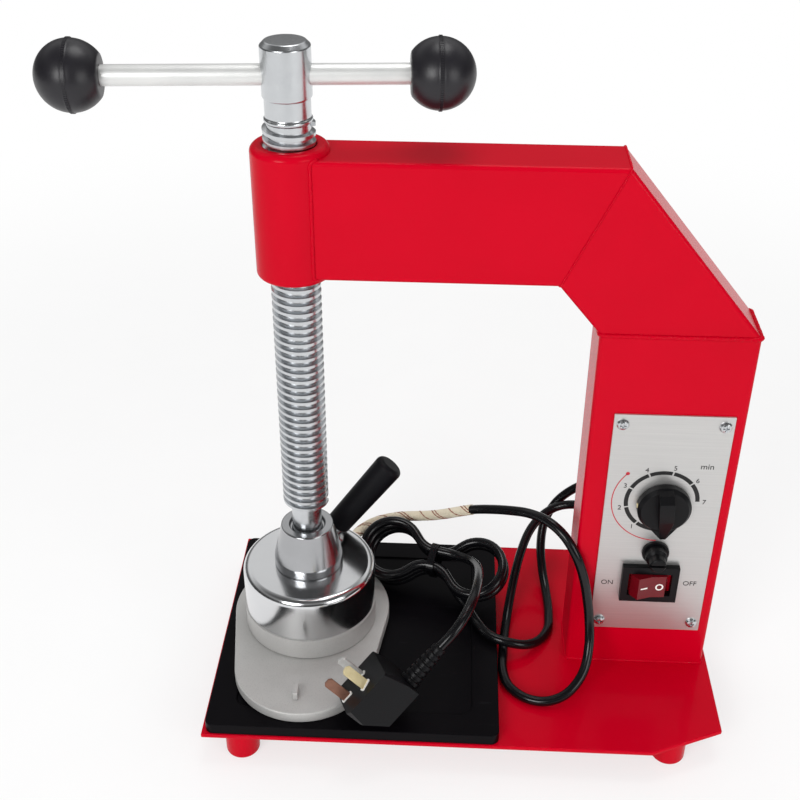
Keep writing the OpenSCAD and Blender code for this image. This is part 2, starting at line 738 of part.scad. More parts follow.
module fuse_holder() {
  color([0.08, 0.08, 0.08]) place() translate([fuse_x, panel_y, fuse_z]) rotate([-90, 0, 0])
    rotate_extrude() polygon([
      [fuse_bore_r, -fuse_flange_t], [fuse_flange_dia / 2, -fuse_flange_t], [fuse_flange_dia / 2, 0],
      [fuse_tube_r, 0], [fuse_tube_r, fuse_deep + 2], [0, fuse_deep + 2], [0, fuse_deep],
      [fuse_bore_r, fuse_deep]]);
}

module fuse_cap() {
  back = fuse_flange_t + free_gap;
  plug = fuse_front - panel_y - run_gap;
  color([0.08, 0.08, 0.08]) place() translate([fuse_x, panel_y, fuse_z]) rotate([-90, 0, 0])
    difference() {
      rotate_extrude() polygon([
        [0, -fuse_out], [fuse_cap_dia / 2 - 2.4, -fuse_out], [fuse_cap_dia / 2 - 1.6, 0.8 - fuse_out],
        [fuse_cap_dia / 2 - 1.6, -fuse_out * 0.6], [fuse_cap_dia / 2, 1.6 - fuse_out * 0.6],
        [fuse_cap_dia / 2, -back], [fuse_bore_r - free_gap, -back], [fuse_bore_r - free_gap, plug],
        [0, plug]]);
      translate([-fuse_cap_dia, -0.8, -fuse_out - 2]) cube([2 * fuse_cap_dia, 1.6, 4]);
    }
}

module glass_fuse() {
  color([0.8, 0.85, 0.85]) place() translate([fuse_x, fuse_front, fuse_z]) rotate([-90, 0, 0])
    cylinder(r = fuse_r, h = fuse_len);
}

module switch_housing() {
  color([0.05, 0.05, 0.05]) place() difference() {
    union() {
      front_box(switch_x, switch_z, bezel_w, bezel_h, bezel_y, bezel_t);
      front_box(switch_x, switch_z, switch_w, switch_h, panel_y - bezel_t / 2, switch_deep + bezel_t / 2);
    }
    front_box(switch_x, switch_z, cavity_w, cavity_h, bezel_y - 1, cavity_d + 1);
    translate([switch_x, pivot_y, switch_z - cavity_h / 2 - 2])
      cylinder(r = pivot_r + run_gap, h = cavity_h + 4);
  }
}

module switch_rocker() {
  w = rocker_w / 2;
  color([0.8, 0.08, 0.05]) place() translate([switch_x, pivot_y, switch_z])
    rotate([0, 0, rocker_tilt]) {
      translate([0, 0, -rocker_h / 2]) linear_extrude(rocker_h) polygon([
        [-w, 3], [-w, 0.4], [3 - w, -5], [0, -3.8], [w - 3, -5], [w, 0.4], [w, 3]]);
      translate([0, 0, -rocker_h / 2 - pivot_in]) cylinder(r = pivot_r, h = rocker_h + 2 * pivot_in);
    }
}

module terminal_block() {
  front = frame_w / 2 - tube_wall - terminal_d;
  color([0.85, 0.83, 0.75]) place() difference() {
    front_box(column_x, terminal_up, terminal_w, terminal_h, front, terminal_d);
    for (i = [-1.5:1:1.5]) {
      translate([column_x + i * terminal_step, front - 1, terminal_up + terminal_h / 4])
        rotate([-90, 0, 0]) cylinder(d = terminal_bore, h = 1 + terminal_d / 2);
    }
  }
}

module gland(dia) {
  rotate_extrude() polygon([
    [0, -tube_wall - 3], [8, -tube_wall - 3], [8, -tube_wall], [5, -tube_wall], [5, 0],
    [gland_dia / 2, 0], [gland_dia / 2, 2.5], [gland_dia / 2 - 2.5, 4.5], [dia / 2 + 1.4, gland_len],
    [0, gland_len]]);
}

module mains_gland() {
  color([0.05, 0.05, 0.05]) place() translate([mains_gland_x, frame_w / 2, mains_gland_z])
    rotate([-90, 0, 0]) gland(mains_dia);
}

module heater_gland() {
  color([0.05, 0.05, 0.05]) place() translate([heater_gland_x, frame_w / 2, heater_gland_z])
    rotate([-90, 0, 0]) gland(heater_dia);
}

module spindle() {
  r = thread_dia / 2;
  t = tip_dia / 2;
  groove_r = pin_x - pin_dia / 2 - free_gap;
  groove_h = pin_dia / 2 + free_gap;
  h = head_dia / 2;
  color([0.75, 0.75, 0.78]) place() difference() {
    rotate_extrude() polygon(concat(
      [[0, tip_z], [t - 1, tip_z], [t, tip_z + 1], [t, pin_z - groove_h], [groove_r, pin_z - groove_h],
       [groove_r, pin_z + groove_h], [t, pin_z + groove_h], [t, thread_z0]],
      [for (i = [0:turns - 1]) each [
        [root_r, thread_z0 + i * thread_pitch],
        [root_r, thread_z0 + (i + 0.15) * thread_pitch],
        [r, thread_z0 + (i + 0.4) * thread_pitch],
        [r, thread_z0 + (i + 0.75) * thread_pitch]]],
      [[root_r, thread_z0 + turns * thread_pitch], [root_r, thread_z1], [neck_dia / 2, thread_z1],
       [neck_dia / 2, neck_z], [h - head_bevel / 2, neck_z], [h, neck_z + head_bevel / 2],
       [h, spindle_z - head_bevel], [h - head_bevel, spindle_z], [0, spindle_z]]));
    translate([0, 0, bar_z]) rotate([0, 90, bar_turn]) translate([0, 0, -head_dia])
      cylinder(r = bar_dia / 2 + run_gap, h = 2 * head_dia);
  }
}

module along_bar() {
  place() translate([0, 0, bar_z]) rotate([0, 90, bar_turn]) children();
}

module tommy_bar() {
  color([0.75, 0.75, 0.78]) along_bar() translate([0, 0, -bar_left - bar_reach])
    cylinder(d = bar_dia, h = bar_span + 2 * bar_reach);
}

// A ball knob with its flat towards -Z
module ball_knob() {
  difference() {
    union() {
      sphere(r = knob_r);
      translate([0, 0, -ridge_w / 2]) cylinder(r = knob_r + ridge_h, h = ridge_w);
    }
    translate([-knob_r - 1, -knob_r - 1, -knob_flat - knob_r]) cube([knob_dia + 2, knob_dia + 2, knob_r]);
    translate([0, 0, -knob_r - 1])
      cylinder(r = bar_dia / 2 + seat_gap, h = knob_r + 1 + bar_reach + seat_gap);
  }
}

module ball_knob_left() {
  color([0.04, 0.04, 0.04]) along_bar() translate([0, 0, -bar_left]) rotate([180, 0, 0]) ball_knob();
}

module ball_knob_right() {
  color([0.04, 0.04, 0.04]) along_bar() translate([0, 0, bar_right]) ball_knob();
}

module press_cone() {
  r = tip_dia / 2 + run_gap;
  b = thrust_ball_dia / 2 + run_gap;
  floor_z = ball_z - thrust_ball_dia / 2 - run_gap;
  s = spigot_dia / 2;
  color([0.85, 0.85, 0.87]) place() difference() {
    rotate_extrude() polygon([
      [0, cap_z - spigot_in], [s, cap_z - spigot_in], [s, cap_top], [cone_dia / 2, cap_top],
      [cone_dia / 2, cap_top + cone_band], [cone_top_dia / 2, cone_z], [mouth_dia / 2, cone_z],
      [mouth_dia / 2, cone_z - mouth_h], [r, cone_z - mouth_h], [r, tip_z - free_gap],
      [b, tip_z - free_gap], [b, floor_z], [0, floor_z]]);
    translate([pin_x, cone_dia, pin_z]) to_front()
      cylinder(r = pin_dia / 2 + seat_gap, h = 2 * cone_dia);
  }
}

module thrust_ball() {
  color([0.7, 0.7, 0.7]) place() translate([0, 0, ball_z]) sphere(d = thrust_ball_dia);
}

module retaining_pin() {
  l = cone_top_dia * 0.78;
  color([0.7, 0.7, 0.7]) place() translate([pin_x, l / 2, pin_z]) to_front()
    cylinder(d = pin_dia, h = l);
}

module at_entry() {
  translate([0, 0, entry_z]) rotate([0, 90, entry_turn]) children();
}

module head_cap() {
  r = cap_dia / 2;
  b = spigot_dia / 2 + seat_gap;
  color([0.85, 0.85, 0.87]) place() difference() {
    rotate_extrude() polygon(concat(
      [[b, cap_top - cap_wall], [cap_in_r, cap_top - cap_wall], [cap_in_r, cap_z], [r, cap_z]],
      arc_pts(r - cap_shoulder, cap_top - cap_shoulder, cap_shoulder, 0, 90, 8),
      [[b, cap_top]]));
    at_entry() translate([0, 0, cap_in_r - 8]) cylinder(r = grommet_dia / 2 + seat_gap, h = 20);
  }
}

module cap_grommet() {
  r = cap_dia / 2;
  color([0.85, 0.83, 0.75]) place() intersection() {
    at_entry() difference() {
      translate([0, 0, cap_in_r - 8]) cylinder(d = grommet_dia, h = 20);
      translate([0, 0, cap_in_r - 9]) cylinder(d = grommet_bore, h = 22);
    }
    translate([0, 0, cap_z]) difference() {
      cylinder(r = r, h = cap_h);
      translate([0, 0, -1]) cylinder(r = cap_in_r - 1, h = cap_h + 2);
    }
  }
}

module heater_disc() {
  s = spigot_dia / 2 + seat_gap;
  color([0.8, 0.8, 0.8]) place() rotate_extrude() polygon([
    [0, disc_z], [disc_dia / 2 - 0.6, disc_z], [disc_dia / 2, disc_z + 0.6], [disc_dia / 2, cap_z],
    [cap_in_r - seat_gap, cap_z], [cap_in_r - seat_gap, register_z], [s, register_z],
    [s, cap_z - spigot_in - seat_gap], [0, cap_z - spigot_in - seat_gap]]);
}

module head_ring(z, h, outer, bore) {
  translate([0, 0, z]) difference() {
    cylinder(d = outer, h = h);
    translate([0, 0, -1]) cylinder(d = bore, h = h + 2);
    if (outer == element_dia) {
      translate([0, -thermostat_off, -1]) cylinder(r = thermostat_dia / 2 + 0.4, h = h + 2);
    }
  }
}

module heating_element() {
  color([0.35, 0.3, 0.25]) place() head_ring(register_z, element_t, element_dia, element_bore);
}

module insulator() {
  color([0.9, 0.88, 0.8]) place() head_ring(element_z, insulator_t, element_dia, insulator_bore);
}

module load_spacer() {
  color([0.6, 0.6, 0.6]) place()
    head_ring(insulator_z, cap_top - cap_wall - insulator_z, spacer_dia, spacer_bore);
}

module thermostat() {
  color([0.85, 0.85, 0.8]) place() translate([0, -thermostat_off, register_z])
    cylinder(d = thermostat_dia, h = element_t + insulator_t);
}

module along_handle() {
  place() translate([handle_x, handle_y, cap_top]) rotate([0, 90 - handle_rise, handle_turn]) children();
}

module handle_lug() {
  color([0.85, 0.85, 0.87]) difference() {
    along_handle() difference() {
      translate([0, 0, -lug_dia]) cylinder(d = lug_dia, h = lug_len + lug_dia);
      translate([0, 0, lug_len - stud_in]) cylinder(r = stud_dia / 2 + seat_gap, h = stud_in + 1);
    }
    place() translate([handle_x - 2 * lug_dia, handle_y - 2 * lug_dia, cap_top - 2 * lug_dia])
      cube([4 * lug_dia, 4 * lug_dia, 2 * lug_dia]);
  }
}

module handle_stud() {
  color([0.7, 0.7, 0.7]) along_handle() translate([0, 0, lug_len - stud_in + seat_gap])
    cylinder(d = stud_dia, h = stud_in + stud_out - 2 * seat_gap);
}

module handle_grip() {
  s = stud_dia / 2 + seat_gap;
  e = grip_end_dia / 2;
  color([0.05, 0.05, 0.05]) along_handle() translate([0, 0, lug_len]) rotate_extrude() polygon([
    [s, 0], [grip_dia / 2 - 1.5, 0], [grip_dia / 2, 1.5], [e, grip_len - 4.5],
    [e - 0.6, grip_len - 2.2], [e - 2, grip_len - 0.7], [e - 4, grip_len], [0, grip_len],
    [0, stud_out], [s, stud_out]]);
}

module mains_cord() {
  color([0.1, 0.1, 0.1]) place() tube(smooth(mains_route, 0, len(mains_route) - 1, 3), mains_dia, 8);
}

module cord_hank() {
  color([0.1, 0.1, 0.1]) place() tube(hank_path, mains_dia, 6);
}

module plug_lead() {
  color([0.1, 0.1, 0.1]) place() tube(smooth(lead_route, 0, len(lead_route) - 1, 3), mains_dia, 8);
}

module heater_cable() {
  color([0.1, 0.1, 0.1]) place() tube(smooth(heater_route, 0, sleeve_at, 2), heater_dia, 8);
}

module heater_sleeve() {
  color([0.9, 0.88, 0.8]) place()
    tube(smooth(heater_route, sleeve_at, len(heater_route) - 1, 2), sleeve_dia, 8);
}

module cord_tie() {
  gap = 0.4;
  w = 2 * waist + mains_dia + 2 * gap;
  h = 2 * layer + mains_dia + 2 * gap;
  r = mains_dia / 2 + gap;
  color([0.1, 0.1, 0.1]) place() translate(hank_at) rotate([0, 0, hank_yaw]) rotate([hank_roll, 0, 0])
    translate([-tie_w / 2, 0, 0]) rotate([90, 0, 90]) linear_extrude(tie_w) difference() {
      polygon(round_rect(w + 2 * tie_t, h + 2 * tie_t, r + tie_t));
      polygon(round_rect(w, h, r));
    }
}

// The plug's own frame: x towards the cable, y along the blades, z across them
module at_plug() {
  place() translate(plug_at) rotate([plug_roll, -plug_tip, plug_dir]) children();
}

module blade(q, p, a, gap) {
  translate([q, -blade_in, p]) rotate([0, -a, 0])
    translate([-blade_w / 2 - gap, -gap, -blade_t / 2 - gap])
    cube([blade_w + 2 * gap, blade_len + blade_in + 2 * gap, blade_t + 2 * gap]);
}

module blades(gap) {
  blade(-10.31, 0, 0, gap);
  blade(3.96, 6.86, -30, gap);
  blade(3.96, -6.86, 30, gap);
}

module plug_body() {
  h = plug_h / 2;
  b = 3;
  color([0.08, 0.08, 0.08]) at_plug() difference() {
    intersection() {
      translate([0, 0, -h]) linear_extrude(plug_h) polygon([
        [-15.5, 0], [19, 0], [21, -8], [21, -plug_deep], [-6, -plug_deep], [-15.5, -12]]);
      rotate([90, 0, 0]) linear_extrude(plug_deep) polygon([
        [-15.5, b - h], [b - 15.5, -h], [21 - b, -h], [21, b - h],
        [21, h - b], [21 - b, h], [b - 15.5, h], [-15.5, h - b]]);
      rotate([90, 0, 90]) translate([0, 0, -16]) linear_extrude(40) polygon([
        [0, -h], [0, h], [-plug_deep, plug_back], [-plug_deep, -plug_back]]);
    }
    blades(seat_gap);
    translate([relief_q - 3, -relief_deep, 0]) rotate([0, 90, 0]) cylinder(r = 4.5, h = 8);
  }
}

module plug_pins() {
  color([0.75, 0.7, 0.6]) at_plug() blades(0);
}

module plug_relief() {
  r0 = 6;
  r1 = mains_dia / 2 + 1.2;
  n = 6;
  s = (relief_len - 5) / n;
  color([0.08, 0.08, 0.08]) at_plug() translate([relief_q, -relief_deep, 0]) rotate([0, 90, 0])
    rotate_extrude() polygon(concat(
      [[0, -2.9], [4.4, -2.9], [4.4, 1.05], [r0 + 0.6, 1.05], [r0 + 0.6, 4]],
      [for (i = [0:n - 1]) each [
        [r0 + (r1 - r0) * i / n - 1.1, 4 + i * s], [r0 + (r1 - r0) * i / n - 1.1, 4 + (i + 0.35) * s],
        [r0 + (r1 - r0) * i / n, 4 + (i + 0.35) * s], [r0 + (r1 - r0) * i / n, 4 + (i + 1) * s]]],
      [[r1, 4 + n * s], [r1, relief_len], [0, relief_len]]));
}

base_plate();
feet();
column();
slope_tube();
arm_tube();
nut_boss();
tray();
lower_platen();
platen_tab();
control_panel();
panel_screws();
timer_body();
fuse_holder();
switch_housing();
terminal_block();
mains_gland();
heater_gland();
spindle();
tommy_bar();
ball_knob_left();
ball_knob_right();
press_cone();
thrust_ball();
retaining_pin();
head_cap();
heater_disc();
heating_element();
insulator();
load_spacer();
thermostat();
cap_grommet();
handle_lug();
handle_stud();
handle_grip();
timer_shaft();
timer_knob();
switch_rocker();
glass_fuse();
fuse_cap();
mains_cord();
cord_hank();
cord_tie();
plug_lead();
plug_relief();
plug_body();
plug_pins();
heater_cable();
heater_sleeve();
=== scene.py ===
# %% [markdown]
# # A tire vulcanizer, dressed around its solids
# This bench press clamps an inner tube between a cast platen and a heated head while a patch cures.
# Its solids arrive as a fixed frame in metres, with every joint in place. They could be drawn again
# from nothing, but looks and motion would drift apart, so each cell only lays a surface on the frame.

# %% Load the frame
import json
import math

import bmesh
import bpy
import numpy as np
from mathutils import Matrix, Vector


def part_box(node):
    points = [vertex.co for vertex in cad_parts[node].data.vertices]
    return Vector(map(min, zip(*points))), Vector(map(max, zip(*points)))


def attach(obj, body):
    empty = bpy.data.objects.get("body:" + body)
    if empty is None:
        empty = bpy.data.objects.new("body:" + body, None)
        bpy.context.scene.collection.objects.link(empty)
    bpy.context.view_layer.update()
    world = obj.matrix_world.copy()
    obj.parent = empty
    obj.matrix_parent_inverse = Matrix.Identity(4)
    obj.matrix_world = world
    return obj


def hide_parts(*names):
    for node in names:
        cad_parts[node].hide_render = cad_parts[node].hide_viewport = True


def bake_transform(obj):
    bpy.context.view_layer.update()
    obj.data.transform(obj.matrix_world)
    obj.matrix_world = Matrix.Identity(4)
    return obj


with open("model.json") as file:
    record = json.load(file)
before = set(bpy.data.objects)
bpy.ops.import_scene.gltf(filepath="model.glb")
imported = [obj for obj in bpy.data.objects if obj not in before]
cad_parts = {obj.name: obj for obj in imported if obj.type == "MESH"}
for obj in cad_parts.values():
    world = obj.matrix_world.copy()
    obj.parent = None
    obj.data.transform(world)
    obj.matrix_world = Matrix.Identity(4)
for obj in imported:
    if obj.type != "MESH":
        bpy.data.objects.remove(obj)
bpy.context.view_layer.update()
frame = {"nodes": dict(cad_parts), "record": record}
print("nodes in the frame:", len(frame["nodes"]))

# %% [markdown]
# ## One ruler for the whole lesson
# The makers of such a press measure from the screw: right of its axis, behind it, and up from the
# base plate. We take that axis and that plate from the frame, and give all other places in millimetres
# of the same drawing, so that nothing has to be fitted by eye.

# %% Measure from the screw
MM = 0.001
boss_low, boss_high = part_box("nut_boss")
AXIS = (boss_low.x + boss_high.x) / 2
BASE_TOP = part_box("base_plate")[1].z


def spot(x, y, z):
    """A place in metres, from millimetres right of and behind the screw, and above the base plate."""
    return Vector((AXIS + x * MM, y * MM, BASE_TOP + z * MM))


def measure(node):
    """A solid's lowest and highest corner, in millimetres from the screw on the base plate."""
    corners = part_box(node)
    return [((c.x - AXIS) / MM, c.y / MM, (c.z - BASE_TOP) / MM) for c in corners]


print("screw axis at x =", round(AXIS, 4), "m, base plate at z =", round(BASE_TOP, 4), "m")

# %% [markdown]
# ## The camera
# The picture was taken from well above the arm, looking down by about a third of a right angle. Lens and
# place come from lines that are level or upright on the real object, measured in the picture.

# %% Set the camera
PICTURE_PX = 800
LENS_PX = 1203.8
SENSOR_MM = 36
LOOK_DOWN = 0.568
LOOK_RIGHT = -0.046
LEAN = 0.005
CAMERA_AT = (88.6, -616.4, 585.6)


def add(name, data):
    """A new object in the scene, at the origin."""
    made = bpy.data.objects.new(name, data)
    bpy.context.scene.collection.objects.link(made)
    return made


camera = add("camera", bpy.data.cameras.new("camera"))
bpy.context.scene.camera = camera
camera.data.sensor_width = SENSOR_MM
camera.data.lens = LENS_PX / PICTURE_PX * SENSOR_MM
level = Vector((math.sin(LOOK_RIGHT), math.cos(LOOK_RIGHT), 0))
ahead = level * math.cos(LOOK_DOWN) - Vector((0, 0, math.sin(LOOK_DOWN)))
lean = Matrix.Rotation(LEAN, 3, -ahead)
right = lean @ Vector((level.y, -level.x, 0))
view = Matrix((right, right.cross(ahead), -ahead)).transposed().to_4x4()
camera.matrix_world = Matrix.Translation(spot(*CAMERA_AT)) @ view
print("lens", round(camera.data.lens, 1), "mm")

# %% [markdown]
# ## Colours and nodes
# Paint is bought by its colour on a screen, so colours here are sRGB hex values, and one function
# turns them to the linear light that the shaders need. One more adds a node with settings and links.
# Every finish starts from the same shader and reads Object coordinates, which are metres here. A Mix node
# has several sockets of one name, so those of its colours are reached by number.

# %% Helpers for finishes
MIX_SHARE, MIX_FROM, MIX_TO, MIXED = 0, 6, 7, 2


def tint(code):
    """A hex colour as linear light with full opacity."""
    shares = [int(code[i:i + 2], 16) / 255 for i in (1, 3, 5)]
    return [s / 12.92 if s <= 0.04045 else ((s + 0.055) / 1.055) ** 2.4 for s in shares] + [1]


def put(tree, kind, inputs=None, **settings):
    """Adds a node: settings are its own properties, inputs are values or other nodes' outputs."""
    made = tree.nodes.new(kind)
    for name, value in settings.items():
        setattr(made, name, value)
    for name, value in (inputs or {}).items():
        if isinstance(value, bpy.types.NodeSocket):
            tree.links.new(value, made.inputs[name])
        else:
            made.inputs[name].default_value = value
    return made


def per_mm(size):
    """The texture scale at which one cell of a pattern is this many millimetres wide."""
    return 1 / (size * MM)


def new_finish(name, **sockets):
    """A material with one shader; gives the material, its tree, the shader and Object coordinates."""
    material = bpy.data.materials.new(name)
    material.use_nodes = True
    tree = material.node_tree
    tree.nodes.clear()
    shader = put(tree, "ShaderNodeBsdfPrincipled",
                 {name.replace("_", " "): value for name, value in sockets.items()})
    put(tree, "ShaderNodeOutputMaterial", {"Surface": shader.outputs[0]})
    place = put(tree, "ShaderNodeTexCoord").outputs["Object"]
    return material, tree, shader, place


def finish_surface(tree, shader, place, coat, grain, rough, relief):
    """Varies colour between two tints, roughness between two values, and adds a fine relief.

    coat is (dark, light, millimetres), grain is millimetres, rough is (low, high), and relief is a depth
    in millimetres. Gives the colour, for marks that lie over it.
    """
    wide = put(tree, "ShaderNodeTexNoise", {"Vector": place, "Scale": per_mm(coat[2]), "Detail": 4})
    shade = put(tree, "ShaderNodeMix",
                {MIX_SHARE: wide.outputs[0], MIX_FROM: tint(coat[0]), MIX_TO: tint(coat[1])},
                data_type="RGBA")
    tree.links.new(shade.outputs[MIXED], shader.inputs["Base Color"])
    fine = put(tree, "ShaderNodeTexNoise", {"Vector": place, "Scale": per_mm(grain), "Detail": 3})
    span = put(tree, "ShaderNodeMapRange",
               {"Value": fine.outputs[0], "To Min": rough[0], "To Max": rough[1]})
    tree.links.new(span.outputs["Result"], shader.inputs["Roughness"])
    bump = put(tree, "ShaderNodeBump",
               {"Height": fine.outputs[0], "Distance": relief * MM, "Strength": 1.0})
    tree.links.new(bump.outputs["Normal"], shader.inputs["Normal"])
    return shade.outputs[MIXED]


print("white is", [round(c, 2) for c in tint("#ffffff")])

# %% [markdown]
# ## Gloss red enamel
# The welded frame is sprayed in one coat of red enamel. A plain red shader would look like plastic, so
# the coat gets a faint orange peel, a little drift in colour from the gun, and a thin clear gloss on top.


# %% Red enamel
def red_enamel():
    """Sprayed enamel: a deep, even red with a thin gloss, whose lights the orange peel breaks up."""
    made, tree, shader, place = new_finish("red_enamel", Specular_IOR_Level=0.05, Coat_Weight=0.06,
                                           Coat_Roughness=0.05)
    finish_surface(tree, shader, place, ("#b8001a", "#c60020", 60), 3.0, (0.2, 0.28), 0.003)
    return made


RED_ENAMEL = red_enamel()
print("made", RED_ENAMEL.name)

# %% [markdown]
# ## Black enamel of the tray
# The tray is a pressed plate in satin black. Hot patches and tools scuff it, so a second noise lays
# grey scuffs over the black, and the sheen is broken at the size of a grain of sand.

# %% Black enamel
SCUFF_LEN = 22
SCUFF_THIN = 9


def black_enamel():
    """Satin black enamel, scuffed: wide soft lights, with paler marks where tools have slid."""
    made, tree, shader, place = new_finish("black_enamel", Specular_IOR_Level=0.06)
    black = finish_surface(tree, shader, place, ("#060508", "#0b090c", 30), 0.9, (0.28, 0.45), 0.02)
    long = put(tree, "ShaderNodeMapping", {"Vector": place, "Scale": (1, SCUFF_THIN, 1)})
    marks = put(tree, "ShaderNodeTexNoise",
                {"Vector": long.outputs[0], "Scale": per_mm(SCUFF_LEN), "Detail": 8})
    few = put(tree, "ShaderNodeMapRange",
              {"Value": marks.outputs[0], "From Min": 0.66, "From Max": 0.8, "To Max": 0.5})
    scuffed = put(tree, "ShaderNodeMix",
                  {MIX_SHARE: few.outputs["Result"], MIX_FROM: black, MIX_TO: tint("#26262a")},
                  data_type="RGBA")
    tree.links.new(scuffed.outputs[MIXED], shader.inputs["Base Color"])
    return made


BLACK_ENAMEL = black_enamel()
print("made", BLACK_ENAMEL.name, "with scuffs", SCUFF_LEN, "mm long")

# %% [markdown]
# ## Cast aluminium
# Platen and heater disc are sand castings with a turned face. Metal that came out of sand has a fine
# grey speckle and no clear reflection, so roughness is high and a cell pattern of about a millimetre,
# drawn coarser than the real grit so that it shows, darkens the surface in specks.

# %% Cast aluminium
GRIT = 0.9


def cast_aluminium():
    """Sand-cast aluminium: pale grey, speckled, with soft broad lights."""
    made, tree, shader, place = new_finish("cast_aluminium", Metallic=0.4)
    grey = finish_surface(tree, shader, place, ("#b4b3b1", "#c2c1bf", 18), 0.8, (0.42, 0.6), 0.04)
    grit = put(tree, "ShaderNodeTexVoronoi", {"Vector": place, "Scale": per_mm(GRIT)})
    dark = put(tree, "ShaderNodeMapRange",
               {"Value": grit.outputs["Distance"], "From Max": 0.35, "To Min": 0.45, "To Max": 0.0})
    speckled = put(tree, "ShaderNodeMix",
                   {MIX_SHARE: dark.outputs["Result"], MIX_FROM: grey, MIX_TO: tint("#77777a")},
                   data_type="RGBA")
    tree.links.new(speckled.outputs[MIXED], shader.inputs["Base Color"])
    return made


CAST_ALUMINIUM = cast_aluminium()
print("made", CAST_ALUMINIUM.name, "with specks", GRIT, "mm apart")

# %% [markdown]
# ## Brushed plate, zinc, steel, chrome and brass
# Each metal shines in its own way. The panel was brushed from side to side, so its noise is stretched
# along X. Zinc plate is bright with a milky drift, and the bar is drawn steel, dulled. Chrome is a mirror
# that needs almost no texture: a trace of polishing haze on the cap, and a blur from turning marks on the
# cone, whose darker grey tint is painted shade. The plug's blades are brass, one of them plated, and the
# earth blade's dark brown is painted shade.

# %% Metals
LINE_STRETCH = 0.02


def brushed_aluminium():
    """Brushed aluminium: fine lines from side to side that smear each light upwards and downwards."""
    made, tree, shader, place = new_finish("brushed_aluminium", Metallic=0.8, Anisotropic=0.5)
    lines = put(tree, "ShaderNodeMapping", {"Vector": place, "Scale": (LINE_STRETCH, 1, 1)})
    finish_surface(tree, shader, lines.outputs[0], ("#c3c2c1", "#d3d2d0", 1.2), 0.7, (0.3, 0.5), 0.012)
    return made


def bright_zinc():
    """Zinc plate: bright, a little blue, with a milky grain that clouds what it mirrors."""
    made, tree, shader, place = new_finish("bright_zinc", Metallic=1.0)
    finish_surface(tree, shader, place, ("#c2c5c8", "#d8dadc", 12), 1.6, (0.2, 0.3), 0.003)
    return made


def satin_steel():
    """Drawn bar, ground and dulled: pale and even, with soft lights along its length."""
    made, tree, shader, place = new_finish("satin_steel", Metallic=0.55)
    finish_surface(tree, shader, place, ("#d4d5d4", "#e4e4e2", 15), 0.8, (0.36, 0.5), 0.01)
    return made


def chrome():
    """Polished chrome: a mirror with a trace of haze from the buffing wheel."""
    made, tree, shader, place = new_finish("chrome", Metallic=1.0)
    finish_surface(tree, shader, place, ("#d6d7d9", "#e2e3e4", 40), 6, (0.12, 0.19), 0.002)
    return made


def turned_chrome_shaded():
    """Chrome over turning marks: a mirror that blurs what it shows, tinted darker grey than the cap as painted
    shade.
    """
    made, tree, shader, place = new_finish("turned_chrome_shaded", Metallic=1.0)
    # These tints are darker than the cap's chrome: painted shade on the same chrome.
    finish_surface(tree, shader, place, ("#a6a7a9", "#b8b9bb", 20), 2.5, (0.16, 0.24), 0.002)
    return made


def element_steel():
    """Blued steel of the heating element, brown from heat."""
    made, tree, shader, place = new_finish("element_steel", Metallic=1.0)
    finish_surface(tree, shader, place, ("#4b4038", "#6d5f52", 8), 1, (0.4, 0.6), 0.02)
    return made


def blade_metal(name, dark, light, metallic):
    """Stamped brass blade, bare or plated: bright with marks of the press tool, and where its tint is dark,
    brass with painted shade.
    """
    made, tree, shader, place = new_finish(name, Metallic=metallic)
    finish_surface(tree, shader, place, (dark, light, 5), 0.7, (0.22, 0.4), 0.015)
    return made


BRUSHED_ALUMINIUM = brushed_aluminium()
BRIGHT_ZINC = bright_zinc()
SATIN_STEEL = satin_steel()
CHROME = chrome()
GREY_SHADED_CHROME = turned_chrome_shaded()
ELEMENT_STEEL = element_steel()
BRASS_BLADE = blade_metal("brass_blade", "#cdbd8c", "#e6d9b0", 0.4)
# The earth blade is brass too: its dark brown tint is painted shade.
SHADED_EARTH_BLADE = blade_metal("earth_blade_painted_shade", "#744e3e", "#966f5e", 0.6)
SILVER_BLADE = blade_metal("silver_blade", "#a8a8a6", "#cfcfcc", 0.4)
print("metals:", [m.name for m in bpy.data.materials if "enamel" not in m.name])

# %% [markdown]
# ## Moulded black, rubber, cream and ink
# Ball knobs are phenolic resin with a soft gloss, the timer knob and the bezel are moulded plastic with a
# fine texture from the tool, and glands are rubber. Jackets, glass and ink are as even. They share one
# recipe and differ in gloss and grain.

# %% Moulded finishes
DRIFT = 25


def moulded(name, dark, light, grain, rough, relief, **sockets):
    """A moulded finish: a nearly even colour with the grain of its mould."""
    made, tree, shader, place = new_finish(name, **sockets)
    finish_surface(tree, shader, place, (dark, light, DRIFT), grain, rough, relief)
    return made


# Phenolic resin, pressed hot and tumbled: black with broad soft lights.
PHENOLIC = moulded("black_phenolic", "#151418", "#1e1c22", 3, (0.32, 0.42), 0.004, Specular_IOR_Level=0.45)
# ABS, moulded against an etched tool: a deep, dull black.
ABS_BLACK = moulded("black_abs", "#08080a", "#0e0e11", 0.5, (0.3, 0.46), 0.01, Specular_IOR_Level=0.18)
# Soft vinyl, moulded: a matt black that hardly mirrors.
GRIP_BLACK = moulded("grip_vinyl", "#0a0a0d", "#121216", 1.2, (0.4, 0.55), 0.02, Specular_IOR_Level=0.12)
# Moulded rubber: a greyer black with a dusty bloom.
RUBBER = moulded("gland_rubber", "#0e0e0f", "#161617", 0.7, (0.45, 0.65), 0.02, Specular_IOR_Level=0.25)
# Pressed ceramic: cream and dry.
CREAM = moulded("cream_ceramic", "#d6cdb6", "#e6dfcc", 1.0, (0.5, 0.7), 0.03)
# A plain white with a waxy sheen, for the collars round the blades.
WHITE_RING_TINT = moulded("blade_ring_white", "#dcdbd6", "#efeeea", 1.0, (0.35, 0.5), 0.02)
